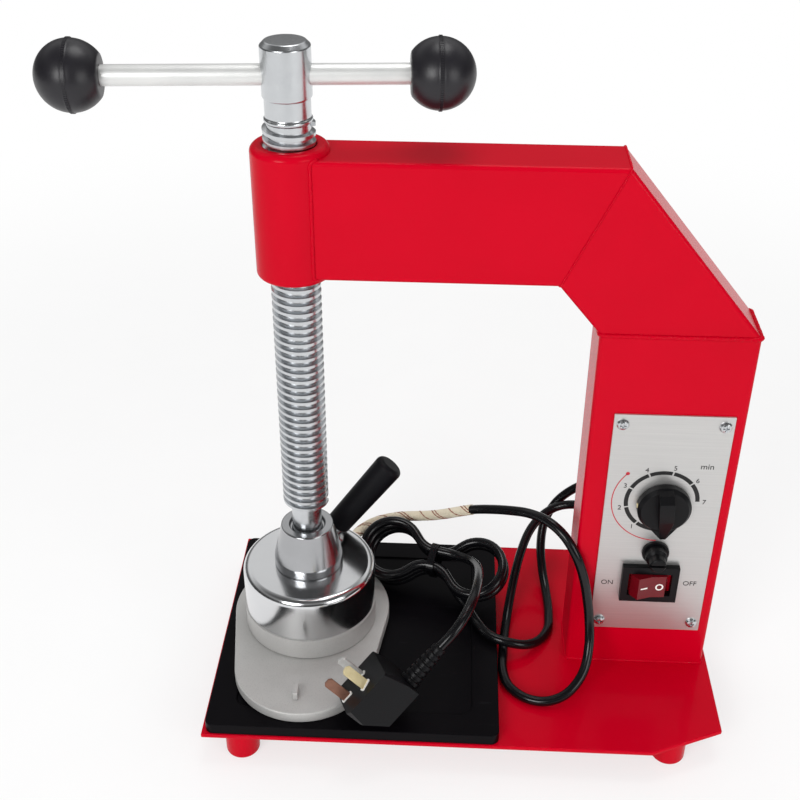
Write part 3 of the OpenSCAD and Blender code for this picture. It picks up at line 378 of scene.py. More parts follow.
# Clear red polycarbonate over a dark switch: a deep red with a sharp gloss.
ROCKER_RED = moulded("red_rocker", "#5c0610", "#700a16", 2.0, (0.14, 0.24), 0.006, Specular_IOR_Level=0.35)
# Drawn glass: clear and smooth.
GLASS = moulded("fuse_glass", "#dfe6e6", "#eef3f3", 6, (0.02, 0.06), 0.001, Transmission_Weight=0.9)
# Screen ink: flat colour with a dry edge.
INK_BLACK = moulded("black_ink", "#060607", "#0e0e10", 1.5, (0.45, 0.6), 0.006)
INK_RED = moulded("red_ink", "#b0122a", "#c81830", 1.5, (0.45, 0.6), 0.006)
INK_WHITE = moulded("white_ink", "#e6e2dc", "#f4f1ec", 1.5, (0.45, 0.6), 0.006)
# PVC drawn over the wires: black with a long clear light down its length.
CORD_PVC = moulded("cord_pvc", "#08080a", "#0f0f12", 4, (0.16, 0.26), 0.004, Specular_IOR_Level=0.32)
print("finishes made:", len(bpy.data.materials))

# %% [markdown]
# ## Working on a mesh
# A finished piece is plain mesh: modifiers are baked, seams are closed and faces point outwards, because
# the export keeps only that. Edges are broken with a bevel, as a file or a mould would. Nearly every piece
# ends in one helper, which gives it its finish and lets it ride on a body of the frame.

# %% Helpers for meshes
SAME_PLACE = 0.002
FLAT_WITHIN = math.radians(1)


def skin(name, points, faces):
    """A new object from points in metres and faces."""
    mesh = bpy.data.meshes.new(name)
    mesh.from_pydata([tuple(p) for p in points], [], faces)
    return add(name, mesh)


def plain_mesh(thing):
    """What a text, or an object with its modifiers, comes to as a plain mesh."""
    return bpy.data.meshes.new_from_object(thing.evaluated_get(bpy.context.evaluated_depsgraph_get()))


def bake(piece):
    """Turns a piece's modifiers into plain mesh."""
    mesh = plain_mesh(piece)
    piece.modifiers.clear()
    piece.data = mesh


def rework(piece, *jobs):
    """Opens a piece's mesh, does these jobs on it in turn and closes it again."""
    work = bmesh.new()
    work.from_mesh(piece.data)
    for job in jobs:
        job(work)
    work.to_mesh(piece.data)
    work.free()
    return piece


def close_seams(work):
    """Merges points that lie in one place."""
    bmesh.ops.remove_doubles(work, verts=work.verts, dist=SAME_PLACE * MM)


def face_out(work):
    """Turns every face outwards."""
    bmesh.ops.recalc_face_normals(work, faces=work.faces)


def join_flats(work):
    """Joins the triangles of each flat face again."""
    bmesh.ops.dissolve_limit(work, angle_limit=FLAT_WITHIN, verts=work.verts, edges=work.edges)


def break_edges(piece, width, steps=3, angle=35):
    """Rounds each edge sharper than angle by width millimetres, as a file or a mould would."""
    bevel = piece.modifiers.new("broken edges", "BEVEL")
    bevel.width = width * MM
    bevel.segments = steps
    bevel.limit_method = "ANGLE"
    bevel.angle_limit = math.radians(angle)
    bevel.use_clamp_overlap = True
    bake(piece)


def settle(piece, body, finish, slot, *nodes, crease=40):
    """Gives a piece its finish and shading, and lets it ride on a body in place of these solids."""
    piece.data.materials.clear()
    piece.data.materials.append(finish)
    piece.data.shade_smooth()
    piece.data.set_sharp_from_angle(angle=math.radians(crease))
    even = piece.modifiers.new("even shading", "WEIGHTED_NORMAL")
    even.keep_sharp = True
    even.weight = 80
    bake(piece)
    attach(piece, body)
    if nodes:
        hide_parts(*nodes)
    print(piece.name, "rides on", body, "with", len(piece.data.polygons), "faces")
    return piece


# %% [markdown]
# ## Lathe, saw and tube
# Most of this machine was turned on a lathe, sawn from plate or cut from tube, and the helpers follow those
# ways: a profile turned about an axis, and rings joined in a row, which also give an outline its thickness.
# A straight-sided piece may start as a merged copy of its solid instead.

# %% Helpers for shapes
ON_AXIS = 1e-6


def stand(at, towards=(0, 0, 1)):
    """A place for a piece drawn in millimetres up its own Z: where it stands and where Z then points."""
    lift = Vector((0, 0, 1)).rotation_difference(Vector(towards)).to_matrix().to_4x4()
    return Matrix.Translation(at) @ lift @ Matrix.Scale(MM, 4)


def unit(arrow):
    """The same direction with a length of one."""
    return arrow / np.linalg.norm(arrow)


def softened(line, radius, steps=4):
    """A line of corners with each inner corner rounded by up to radius."""
    points = [np.array(p, float) for p in line]
    done = [points[0]]
    for before, corner, after in zip(points, points[1:], points[2:]):
        back = before - corner
        on = after - corner
        reach = min(radius, np.linalg.norm(back) / 2, np.linalg.norm(on) / 2)
        start = corner + unit(back) * reach
        end = corner + unit(on) * reach
        for t in np.linspace(0, 1, steps + 1):
            done.append((1 - t) ** 2 * start + 2 * t * (1 - t) * corner + t * t * end)
    return done + [points[-1]]


def turned(name, profile, place, sides=96):
    """A piece turned on a lathe: profile points are (radius, height) in millimetres."""
    points = []
    faces = []
    rows = []
    for radius, height in profile:
        count = 1 if radius < ON_AXIS else sides
        rows.append(range(len(points), len(points) + count))
        for k in range(count):
            angle = math.tau * k / sides
            points.append(place @ Vector((radius * math.cos(angle), radius * math.sin(angle), height)))
    for low, high in zip(rows, rows[1:]):
        for k in range(sides):
            n = (k + 1) % sides
            ring = [low[k % len(low)], low[n % len(low)], high[n % len(high)], high[k % len(high)]]
            faces.append(list(dict.fromkeys(ring)))
    faces = [f for f in faces if len(f) > 2]
    return rework(skin(name, points, faces), close_seams, face_out)


def joined_rings(name, rings):
    """A closed piece whose skin runs from ring to ring; all rings have as many points."""
    count = len(rings[0])
    faces = []
    for i in range(len(rings) - 1):
        for k in range(count):
            n = (k + 1) % count
            faces.append([i * count + k, i * count + n, (i + 1) * count + n, (i + 1) * count + k])
    faces.append(list(range(count)))
    faces.append(list(range((len(rings) - 1) * count, len(rings) * count)))
    return rework(skin(name, [p for ring in rings for p in ring], faces), close_seams, face_out)


def arc(cx, cy, radius, start, end, steps):
    """Points on a round stretch of an outline, angles in degrees."""
    angles = np.radians(np.linspace(start, end, steps + 1))
    return [(cx + radius * math.cos(a), cy + radius * math.sin(a)) for a in angles]


def round_rect(w, h, r, steps=8):
    """The outline of a plate or tube with round corners."""
    x = w / 2 - r
    y = h / 2 - r
    corners = ((x, y, 0), (-x, y, 90), (-x, -y, 180), (x, -y, 270))
    return [p for cx, cy, a in corners for p in arc(cx, cy, r, a, a + 90, steps)]


def dressed(node, name, body, finish, slot, *edges):
    """A merged copy of a solid with broken edges, given its finish and set in that solid's place."""
    made = rework(add(name, frame["nodes"][node].data.copy()), close_seams, join_flats)
    break_edges(made, *edges)
    return settle(made, body, finish, slot, node)


print("one millimetre is", MM, "m, and points within", SAME_PLACE, "mm are one")

# %% [markdown]
# ## The two cords
# The mains cord leaves a gland behind the column, lies on the base, runs into a tied hank and ends in
# its plug. The heater cable makes a loop in front and climbs to the head in a woven sleeve. A curve
# with a bevel would do, but rings swept along the same points as the solids make a closed tube that
# doesn't twist, so we sweep.

# %% Helpers for cords
ASKEW = (0.3, 0.2, 1.0)  # a direction in which no cord sets out


def flowing(points, steps):
    """A smooth path through given points, with so many steps from one point to the next."""
    line = np.array([2 * np.array(points[0]) - points[1], *points, 2 * np.array(points[-1]) - points[-2]])
    path = []
    for a, b, c, d in zip(line, line[1:], line[2:], line[3:]):
        for t in np.arange(steps) / steps:
            path.append(0.5 * (2 * b + (c - a) * t + (2 * a - 5 * b + 4 * c - d) * t ** 2
                               + (3 * b - a - 3 * c + d) * t ** 3))
    return path + [line[-2]]


def carried_frames(path):
    """For each point of a path its direction and two sides that don't twist."""
    line = np.array(path)
    ahead_of = np.gradient(line, axis=0)
    ahead_of /= np.linalg.norm(ahead_of, axis=1)[:, None]
    side = np.cross(ahead_of[0], ASKEW)
    sides = []
    for t in ahead_of:
        side = unit(side - side.dot(t) * t)
        sides.append(side)
    return line, ahead_of, np.array(sides), np.cross(ahead_of, sides)


def cord_length(path):
    """The length of a path, in metres if the path is."""
    return float(np.linalg.norm(np.diff(np.array(path), axis=0), axis=1).sum())


def swept(name, path, dia, sides=16):
    """A round jacket, so many millimetres across, along a path in metres."""
    line, _, u, v = carried_frames(path)
    angles = np.arange(sides) * math.tau / sides
    rings = [[p + dia * MM / 2 * (math.cos(a) * s + math.sin(a) * w) for a in angles]
             for p, s, w in zip(line, u, v)]
    return joined_rings(name, rings)


def gland_mouth(node):
    """The middle of a gland's back end, where its cord comes out."""
    low, high = measure(node)
    return np.array(((low[0] + high[0]) / 2, high[1], (low[2] + high[2]) / 2))


print("mains gland at", gland_mouth("mains_gland").round(1))

# %% [markdown]
# ## The hank
# The spare cord is folded in loops on both sides of a tie. Strands set by hand would run through each other,
# so the hank is a formula: loops of one radius, drawn in at a waist, that climb from layer to layer and fan
# out away from the tie. It lies on the tray, rolled on its side and turned.

# %% Hank
TRAY_H = measure("tray")[1][2]
MAINS_DIA = 6.5
HEATER_DIA = 6.3
LOOP_R = 19.8
WAIST = 5.5
LAYER = 7.2
FAN = 0.5
HANK_END = 3
HANK_ROLL = math.radians(35)
HANK_YAW = math.radians(-17)
HANK_AT = np.array((83.5, 43, TRAY_H + 22.2))
LOOP_STEPS = 22
CLIMB = 0.65
LOOP_C = math.sqrt((LOOP_R - WAIST) * (3 * LOOP_R + WAIST))
LOOP_B = math.asin(LOOP_C / (2 * LOOP_R))
LOOP_TURN = math.pi + 4 * LOOP_B


def beside_waist(t):
    """A loop's place along and across the hank after turning by t."""
    if t < LOOP_B:
        return LOOP_R * math.sin(t), WAIST + LOOP_R - LOOP_R * math.cos(t)
    if t <= LOOP_TURN - LOOP_B:
        a = math.pi / 2 + 2 * LOOP_B - t
        return LOOP_C + LOOP_R * math.cos(a), LOOP_R * math.sin(a)
    along, across = beside_waist(LOOP_TURN - t)
    return along, -across


def in_hank(along, across, up):
    """A place of the hank, rolled and turned as it lies on the tray."""
    y = across * math.cos(HANK_ROLL) - up * math.sin(HANK_ROLL)
    z = across * math.sin(HANK_ROLL) + up * math.cos(HANK_ROLL)
    turned_x = along * math.cos(HANK_YAW) - y * math.sin(HANK_YAW)
    turned_y = along * math.sin(HANK_YAW) + y * math.cos(HANK_YAW)
    return HANK_AT + (turned_x, turned_y, z)


def loop_place(side, low, high, share):
    """A place on a loop that climbs from one layer to another, left (-1) or right (+1) of the waist."""
    along, across = beside_waist(LOOP_TURN * share)
    rise = min(1, share / CLIMB)
    level_at = low + (high - low) * rise * rise * (3 - 2 * rise)
    fanned = LAYER * (level_at - 1) * (1 + FAN * (along / (LOOP_C + LOOP_R)) ** 2)
    return in_hank(side * along, side * across, fanned)


LOOPS = ((1, 0, 0, 19), (-1, 0, 0, 0), (1, 0, 1, 0), (-1, 1, 1, 0), (1, 1, 2, 0), (-1, 2, 2, 0))
hank = [loop_place(side, low, high, k / LOOP_STEPS)
        for side, low, high, first in LOOPS for k in range(first, LOOP_STEPS)]
hank += [loop_place(-1, 2, 2, 1), in_hank(HANK_END, WAIST, LAYER)]
hank_in_dir = unit(hank[1] - hank[0])
hank_out_dir = unit(hank[-1] - hank[-2])
print("hank:", len(hank), "points in", len(LOOPS), "loops")

# %% [markdown]
# ## Where the plug lies
# The cord has to meet its plug, so the plug's place comes first. It leans on a back corner, turned on the
# tray, rolled and with its cable end tipped up, and the strain relief points along its X.

# %% Place of the plug
PLUG_TURN = math.radians(33.3)
PLUG_ROLL = math.radians(66.6)
PLUG_TIP = math.radians(38.8)
PLUG_DEEP = 29
PLUG_BACK = 12
PLUG_CORNER = 6
HAIR_GAP = 0.05
plug_low = PLUG_DEEP * math.sin(PLUG_ROLL) + PLUG_BACK * math.cos(PLUG_ROLL)
plug_up = HAIR_GAP + PLUG_CORNER * math.sin(PLUG_TIP) + plug_low * math.cos(PLUG_TIP)
PLUG_AT = np.array((39.4, -85.1, TRAY_H + plug_up))
RELIEF_FROM = 20
RELIEF_LEN = 30
RELIEF_DEEP = 24.5
plug_turns = Matrix.Rotation(PLUG_TURN, 3, "Z") @ Matrix.Rotation(-PLUG_TIP, 3, "Y")
plug_turns = plug_turns @ Matrix.Rotation(PLUG_ROLL, 3, "X")
relief_dir = np.array(plug_turns @ Vector((1, 0, 0)))
relief_side = np.array(plug_turns @ Vector((0, -1, 0)))
relief_from = PLUG_AT + RELIEF_FROM * relief_dir + RELIEF_DEEP * relief_side
relief_tip = relief_from + RELIEF_LEN * relief_dir
print("the cord meets its relief at", relief_tip.round(1))

# %% [markdown]
# ## The mains cord
# It runs straight out of its gland, sinks behind the column, lies on the base and goes into the hank. From
# there the lead bends over in a wide arch and comes straight into the relief. One jacket covers all of it,
# because the real cord has no joint either.

# %% Mains cord
STEPS = 6
HANK_STEPS = 2
STRAIGHT_OUT = np.array((0, 12, 0))
HANK_RUN = 20
HANK_STRAIGHT = 8
LEAD_OUT = 11
LEAD_IN = 12
mains_tip = gland_mouth("mains_gland")
mains_points = [
    mains_tip, mains_tip + STRAIGHT_OUT,
    (202, 72, 79), (194, 84, 72), (183, 91, 62), (171, 91, 49.5), (163, 85, 36), (160.5, 74.5, 22.5),
    (161.5, 61.5, 11.5), (163.5, 47.5, 5), (164.5, 34, 3.5), (164.5, 20, 3.4), (163, 6, 3.4),
    (156.5, -6.5, 4.5), (146.5, -15, 8), (134, -16.5, 11.3), (122, -11.5, 12.2), (114.5, -1, 12.4),
    hank[0] - HANK_RUN * hank_in_dir + (0, 0, 2), hank[0] - HANK_STRAIGHT * hank_in_dir, hank[0]]
lead_points = [
    hank[-1], hank[-1] + LEAD_OUT * hank_out_dir,
    (104.29, 34.33, 40.77), (108.97, 27.94, 43.44), (111.64, 20.35, 46.94), (112.89, 11.82, 50.9),
    (113.2, 2.59, 54.98), (112.87, -7.05, 58.83), (112.08, -16.86, 62.11), (110.83, -26.57, 64.45),
    (109, -35.9, 65.52), (106.33, -44.6, 64.97), (102.46, -52.38, 62.44),
    relief_tip + LEAD_IN * relief_dir, relief_tip]
mains_path = flowing(mains_points, STEPS)[:-1] + flowing(hank, HANK_STEPS)[:-1] + flowing(lead_points, STEPS)
mains_path = [spot(*p) for p in mains_path]
mains_cord = swept("mains_lead", mains_path, MAINS_DIA)
settle(mains_cord, "frame", CORD_PVC, "cord_black", "mains_cord", "cord_hank", "plug_lead")
print("mains cord:", round(cord_length(mains_path), 3), "m")

# %% [markdown]
# ## The heater cable
# It leaves a second gland, loops over the base in front of the column and climbs in an arch to the head.
# Cable and sleeve are one path, cut where the yarn begins, so that they meet without a step.

# %% Heater cable
heater_tip = gland_mouth("heater_gland")
heater_points = [
    heater_tip, heater_tip + STRAIGHT_OUT,
    (194.5, 70.5, 58.5), (185, 79.5, 56), (172, 83, 51.5), (160.5, 79.5, 45.5), (151.5, 70.5, 38.5),
    (145.5, 58, 30.5), (141, 43.5, 21.5), (137.5, 28, 12.5), (134.8, 12, 5.6), (132.8, -5, 3.4),
    (131.6, -21, 3.3), (131.3, -35, 3.3), (134.8, -48.8, 3.3), (145, -58.8, 3.3), (158.5, -62.5, 4.6),
    (172, -58.8, 9), (182, -49, 18), (185.7, -37.5, 31), (185, -29.5, 47), (182.4, -26, 63),
    (179, -24.3, 78), (173.5, -21.5, 92.5), (165.5, -15, 103), (155.5, -6, 107), (144, 5, 104.5),
    (131.5, 16.5, 97.5), (119, 28, 89), (108, 38, 80.5)]
sleeve_points = [
    (97.5, 47.3, 70.8), (87.5, 57, 60.8), (77.8, 66.3, 52), (68, 74, 45.3), (58, 78.5, 40.8),
    (47.6, 78.5, 38.5), (38.1, 74.2, 37.8), (31.6, 67.2, 38.4), (27, 58, 39.9)]
ENTRY_TURN = math.radians(65)
ENTRY_UP = 9.2
ENTRY_GAP = 0.3
ENTRY_RUN = 8
entry_dir = np.array((math.cos(ENTRY_TURN), math.sin(ENTRY_TURN), 0))
sleeve_end = (measure("heater_disc")[1][0] + ENTRY_GAP) * entry_dir
sleeve_end[2] = measure("head_cap")[0][2] + ENTRY_UP
whole_route = heater_points + sleeve_points + [sleeve_end + ENTRY_RUN * entry_dir, sleeve_end]
whole_path = [spot(*p) for p in flowing(whole_route, STEPS)]
sleeve_from = (len(heater_points) - 1) * STEPS
heater_path = whole_path[:sleeve_from + 1]
sleeve_path = whole_path[sleeve_from:]
heater_cable = swept("heater_lead", heater_path, HEATER_DIA)
settle(heater_cable, "frame", CORD_PVC, "cord_black", "heater_cable")
print("heater cable:", round(cord_length(heater_path), 3), "m, sleeve:", round(cord_length(sleeve_path), 3))

# %% [markdown]
# ## The woven sleeve
# Glass yarn is braided over the last stretch, because PVC would melt at the head. A picture of a weave
# would stay flat at the rim, so real strands wind both ways round the cable and pass over and under
# each other. Three of them are thin brown tracer threads that stay on top.

# %% Woven sleeve
SLEEVE_DIA = 7.6
CORE_SIDES = 20
STRANDS = 10
STRAND_W = 2.0
STRAND_T = 0.45
STRAND_STEP = 0.9
STRAND_WAVE = 0.4
CORE_SUNK = 2.2
STRAND_SECTION = ((-1, -0.2), (-0.7, 0.12), (0.7, 0.12), (1, -0.2))
BRAID_PITCH = 34
TRACERS = ((1, 0), (1, 4), (1, 5))
TRACER_W = 0.4


def braided_sleeve(name, path):
    """A cream core with flat strands wound both ways over it."""
    core = swept(name, path, SLEEVE_DIA - CORE_SUNK * STRAND_T, CORE_SIDES)
    line, _, u, v = carried_frames(path)
    along = np.concatenate([[0], np.cumsum(np.linalg.norm(np.diff(line, axis=0), axis=1))]) / MM
    fine = np.arange(0, along[-1], STRAND_STEP)
    line, u, v = (np.array([np.interp(fine, along, m[:, i]) for i in range(3)]).T for m in (line, u, v))
    points = [tuple(p.co) for p in core.data.vertices]
    faces = [tuple(f.vertices) for f in core.data.polygons]
    shades = [0] * len(faces)
    corners = len(STRAND_SECTION)
    wind = math.tau * fine / BRAID_PITCH
    lean_of_strand = math.atan(math.pi * SLEEVE_DIA / BRAID_PITCH)
    for way in (1, -1):
        for s in range(STRANDS):
            first = len(points)
            turn = math.tau * s / STRANDS + way * wind
            tracer = (way, s) in TRACERS
            wave = np.ones_like(wind) if tracer else way * np.cos(STRANDS * wind)
            middle = SLEEVE_DIA / 2 - STRAND_T + STRAND_WAVE * STRAND_T * wave
            half = STRAND_W / 2 / (SLEEVE_DIA / 2) / math.cos(lean_of_strand)
            half *= TRACER_W if tracer else 1
            for i in range(len(fine)):
                for across, lift in STRAND_SECTION:
                    a = turn[i] + across * half
                    radius = (middle[i] + lift) * MM
                    points.append(tuple(line[i] + radius * (math.cos(a) * u[i] + math.sin(a) * v[i])))
            for i in range(len(fine) - 1):
                for k in range(corners):
                    n = (k + 1) % corners
                    a = first + corners * i
                    faces.append((a + k, a + n, a + corners + n, a + corners + k))
            last = first + corners * (len(fine) - 1)
            faces.append(tuple(range(first, first + corners)))
            faces.append(tuple(range(last + corners - 1, last - 1, -1)))
            shades += [int(tracer)] * (len(faces) - len(shades))
    bpy.data.objects.remove(core)
    made = skin(name, points, faces)
    made.data.polygons.foreach_set("material_index", shades)
    return rework(made, face_out)


# Braided glass yarn: cream and dry, with a little sheen from the loose fibres.
YARN = moulded("glass_yarn", "#cfc3a8", "#e8dfca", 0.6, (0.6, 0.8), 0.06, Sheen_Weight=0.2)
# The same yarn, dyed brown.
TRACER = moulded("tracer_yarn", "#7a3a2a", "#96523e", 0.6, (0.6, 0.8), 0.06)
sleeve = braided_sleeve("woven_sleeve", sleeve_path)
sleeve.data.materials.append(YARN)
sleeve.data.materials.append(TRACER)
sleeve.data.shade_smooth()
sleeve.data.set_sharp_from_angle(angle=math.radians(60))
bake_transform(sleeve)
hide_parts("heater_sleeve")
print(sleeve.name, "has", len(sleeve.data.polygons), "faces")

# %% [markdown]
# ## The welded frame
# Column, slope and arm are rectangular tube, cut at an angle and welded end to end. Extruding and
# cutting them with booleans would work, but rings of points, slid along each tube until they meet the
# cutting plane, give clean long faces and round corners that catch the light.

# %% Column, slope and arm
TUBE_CORNER = 2.6
SLOPE = math.radians(50)
column_low, column_high = measure("column")
arm_low, arm_high = measure("arm_tube")
COLUMN_W = column_high[0] - column_low[0]
FRAME_W = column_high[1] - column_low[1]
COLUMN_X = (column_low[0] + column_high[0]) / 2
COLUMN_H = column_high[2]
DAYLIGHT = arm_low[2]
ARM_H = arm_high[2] - arm_low[2]
MITRE_X = column_low[0] - (DAYLIGHT - COLUMN_H) / math.tan(SLOPE)
LEAN_OF_MITRE = math.tan(SLOPE / 2)
BOSS_R = (boss_high.x - boss_low.x) / 2 / MM
arm_section = [(y, h + ARM_H / 2) for y, h in round_rect(FRAME_W, ARM_H, TUBE_CORNER)]


def mitre_ring():
    """The section where arm and slope meet."""
    return [spot(MITRE_X + h * LEAN_OF_MITRE, y, DAYLIGHT + h) for y, h in arm_section]


def slope_foot_ring():
    """The section where the slope stands on the column."""
    ring = []
    for y, h in arm_section:
        x = MITRE_X + h * math.sin(SLOPE)
        z = DAYLIGHT + h * math.cos(SLOPE)
        ring.append(spot(x + (z - COLUMN_H) / math.tan(SLOPE), y, COLUMN_H))
    return ring


def boss_ring(inset):
    """The section where the arm runs into the round boss, sunk into it by inset."""
    radius = BOSS_R - inset
    reach = [math.sqrt(radius ** 2 - min(abs(y), radius - 1) ** 2) for y, _ in arm_section]
    return [spot(x, y, DAYLIGHT + h) for x, (y, h) in zip(reach, arm_section)]


def column_ring(height):
    """The column's section at a height."""
    outline = round_rect(COLUMN_W, FRAME_W, TUBE_CORNER)
    return [spot(COLUMN_X + x, y, height) for x, y in outline]


column = joined_rings("column_tube", [column_ring(0), column_ring(COLUMN_H)])
settle(column, "frame", RED_ENAMEL, "red_paint", "column")
slope = joined_rings("sloping_tube", [slope_foot_ring(), mitre_ring()])
settle(slope, "frame", RED_ENAMEL, "red_paint", "slope_tube")
arm = joined_rings("press_arm", [boss_ring(1), mitre_ring()])
settle(arm, "frame", RED_ENAMEL, "red_paint", "arm_tube")

# %% [markdown]
# ## The nut boss and the feet
# Both were turned from bar: a profile and a lathe. Each corner gets a small round, because enamel
# never leaves a sharp edge and a dead sharp edge would catch no light.

# %% Boss and feet
boss_z0, boss_z1 = (corner[2] for corner in measure("nut_boss"))
BOSS_BORE = 14.6
boss_line = [
    (BOSS_BORE, boss_z0), (BOSS_R - 1, boss_z0), (BOSS_R, boss_z0 + 1.5), (BOSS_R, boss_z1 - 2.5),
    (BOSS_R - 2.5, boss_z1), (BOSS_BORE, boss_z1), (BOSS_BORE, boss_z0)]
boss = turned("boss_turning", softened(boss_line, 1.6), stand(spot(0, 0, 0)))
settle(boss, "frame", RED_ENAMEL, "red_paint", "nut_boss")
FOOT_R = 10.75
FOOT_ROUND = 1.5
FOOT_SIDES = 48
FOOT_PLACES = ((-36, 85.5), (-36, -85.5), (237, 76.5), (237, -76.5))
foot_low = measure("feet")[0][2]
foot_top = measure("base_plate")[0][2]
foot_line = [(0, foot_low), (FOOT_R - FOOT_ROUND, foot_low), (FOOT_R, foot_low + FOOT_ROUND),
             (FOOT_R, foot_top), (0, foot_top)]
for i, (x, y) in enumerate(FOOT_PLACES):
    foot = turned("foot_%d" % (i + 1), softened(foot_line, 1.0), stand(spot(x, y, 0)), FOOT_SIDES)
    settle(foot, "frame", RED_ENAMEL, "red_paint", *(["feet"] if i == 0 else []))

# %% [markdown]
# ## The base plate
# Base, tray and platen are flat, so an outline with a thickness is enough, and a fine bevel does the rest:
# it is the bevel that shows a plate's thickness in a picture. The base has two cut corners.


# %% Base plate
def plate(name, outline, low, high):
    """A plate with an outline in millimetres between two heights."""
    return joined_rings(name, [[spot(x, y, z) for x, y in outline] for z in (low, high)])


base_low, base_high = measure("base_plate")
CUT_X = 46
CUT_Y = 20
base_outline = [
    (base_low[0], base_low[1]), (base_high[0] - CUT_X, base_low[1]),
    (base_high[0], base_low[1] + CUT_Y), (base_high[0], base_high[1] - CUT_Y),
    (base_high[0] - CUT_X, base_high[1]), (base_low[0], base_high[1])]
base = plate("base_sheet", base_outline, base_low[2], base_high[2])
break_edges(base, 0.8)
settle(base, "frame", RED_ENAMEL, "red_paint", "base_plate")

# %% [markdown]
# ## The tray
# A square sheet with a shallow recess, pressed in. A boolean could sink it, but four rings in a row, two of
# the rim and two of the well, make the same shape with clean edges.

# %% Tray
tray_low, tray_high = measure("tray")
TRAY_W = tray_high[0] - tray_low[0]
TRAY_MARGIN = 17
TRAY_RECESS = 1.2
RIM_ROUND = 5
WELL_ROUND = 8
tray_mid = ((tray_low[0] + tray_high[0]) / 2, (tray_low[1] + tray_high[1]) / 2)
rim = [(x + tray_mid[0], y + tray_mid[1]) for x, y in round_rect(TRAY_W, TRAY_W, RIM_ROUND)]
INNER_W = TRAY_W - 2 * TRAY_MARGIN
well = [(x + tray_mid[0], y + tray_mid[1]) for x, y in round_rect(INNER_W, INNER_W, WELL_ROUND)]
tray_rings = [(rim, 0), (rim, TRAY_H), (well, TRAY_H), (well, TRAY_H - TRAY_RECESS)]
tray = joined_rings("drip_tray", [[spot(x, y, z) for x, y in ring] for ring, z in tray_rings])
break_edges(tray, 0.6)
settle(tray, "frame", BLACK_ENAMEL, "black_enamel", "tray")

# %% [markdown]
# ## The platen
# The casting is an egg: a wide arc at the back, a narrower one at the front, and straight sides that touch
# both. The angle of those sides follows from the two radii and the way between them. A small upright tab
# was cast with it.

# %% Platen
platen_low, platen_high = measure("lower_platen")
PLATEN_R = (platen_high[0] - platen_low[0]) / 2
PLATEN_BACK = platen_high[1] - PLATEN_R
FRONT_R = 45
PLATEN_FRONT = platen_low[1] + FRONT_R
side_lean = math.degrees(math.asin((PLATEN_R - FRONT_R) / (PLATEN_BACK - PLATEN_FRONT)))
egg = arc(0, PLATEN_BACK, PLATEN_R, -side_lean, 180 + side_lean, 64)
egg += arc(0, PLATEN_FRONT, FRONT_R, 180 + side_lean, 360 - side_lean, 56)
platen = plate("platen_casting", egg, platen_low[2], platen_high[2])
break_edges(platen, 1.0)
settle(platen, "frame", CAST_ALUMINIUM, "cast_aluminium", "lower_platen")
dressed("platen_tab", "platen_lug", "frame", CAST_ALUMINIUM, "cast_aluminium", 0.7)

# %% [markdown]
# ## The heated head
# Disc, chromed cap and press cone are turned on one axis, so each is a profile and a lathe. The cap's
# foot and the disc's top edge are both rounded a little, and the dark line between them is that gap.

# %% Disc, cap and cone
disc_low, disc_high = measure("heater_disc")
DISC_R = disc_high[0]
cap_low, cap_high = measure("head_cap")
CAP_R = cap_high[0]
CAP_SHOULDER = 5
HEAD_SIDES = 128
disc_line = [
    (0, disc_low[2]), (DISC_R - 0.6, disc_low[2]), (DISC_R, disc_low[2] + 0.6), (DISC_R, cap_low[2] - 0.7),
    (DISC_R - 1.2, cap_low[2]), (0, cap_low[2])]
disc = turned("heater_turning", disc_line, stand(spot(0, 0, 0)), HEAD_SIDES)
settle(disc, "head", CAST_ALUMINIUM, "cast_aluminium", "heater_disc")
shoulder = arc(CAP_R - CAP_SHOULDER, cap_high[2] - CAP_SHOULDER, CAP_SHOULDER, 0, 90, 12)
cap_line = [
    (0, cap_low[2] + HAIR_GAP), (CAP_R - 0.9, cap_low[2] + HAIR_GAP), (CAP_R - 0.2, cap_low[2] + 0.3),
    (CAP_R, cap_low[2] + 1.0), *shoulder, (0, cap_high[2])]
cap = turned("chrome_cap", cap_line, stand(spot(0, 0, 0)), HEAD_SIDES)
settle(cap, "head", CHROME, "chrome", "head_cap")
cone_high = measure("press_cone")[1]
CONE_R = cone_high[0]
CONE_BAND = 6.5
CONE_TOP_R = 17
MOUTH_R = 11.5
MOUTH_H = 3
THROAT_R = 9.55
mouth_z = cone_high[2] - MOUTH_H
throat_z = cone_high[2] - 4 * MOUTH_H
cone_line = [
    (0, cap_high[2]), (CONE_R, cap_high[2]), (CONE_R, cap_high[2] + CONE_BAND), (CONE_TOP_R, cone_high[2]),
    (MOUTH_R, cone_high[2]), (MOUTH_R, mouth_z), (THROAT_R, mouth_z), (THROAT_R, throat_z), (0, throat_z)]
cone = turned("chrome_cone", softened(cone_line, 1.0), stand(spot(0, 0, 0)))
# The cone's darker grey chrome is painted shade.
settle(cone, "head", GREY_SHADED_CHROME, "chrome", "press_cone")

# %% [markdown]
# ## The lifting handle
# A vinyl grip is pushed over a stud that leans up from the cap. It was moulded in one piece, so it is
# a turned profile with a slow taper and a well rounded end.

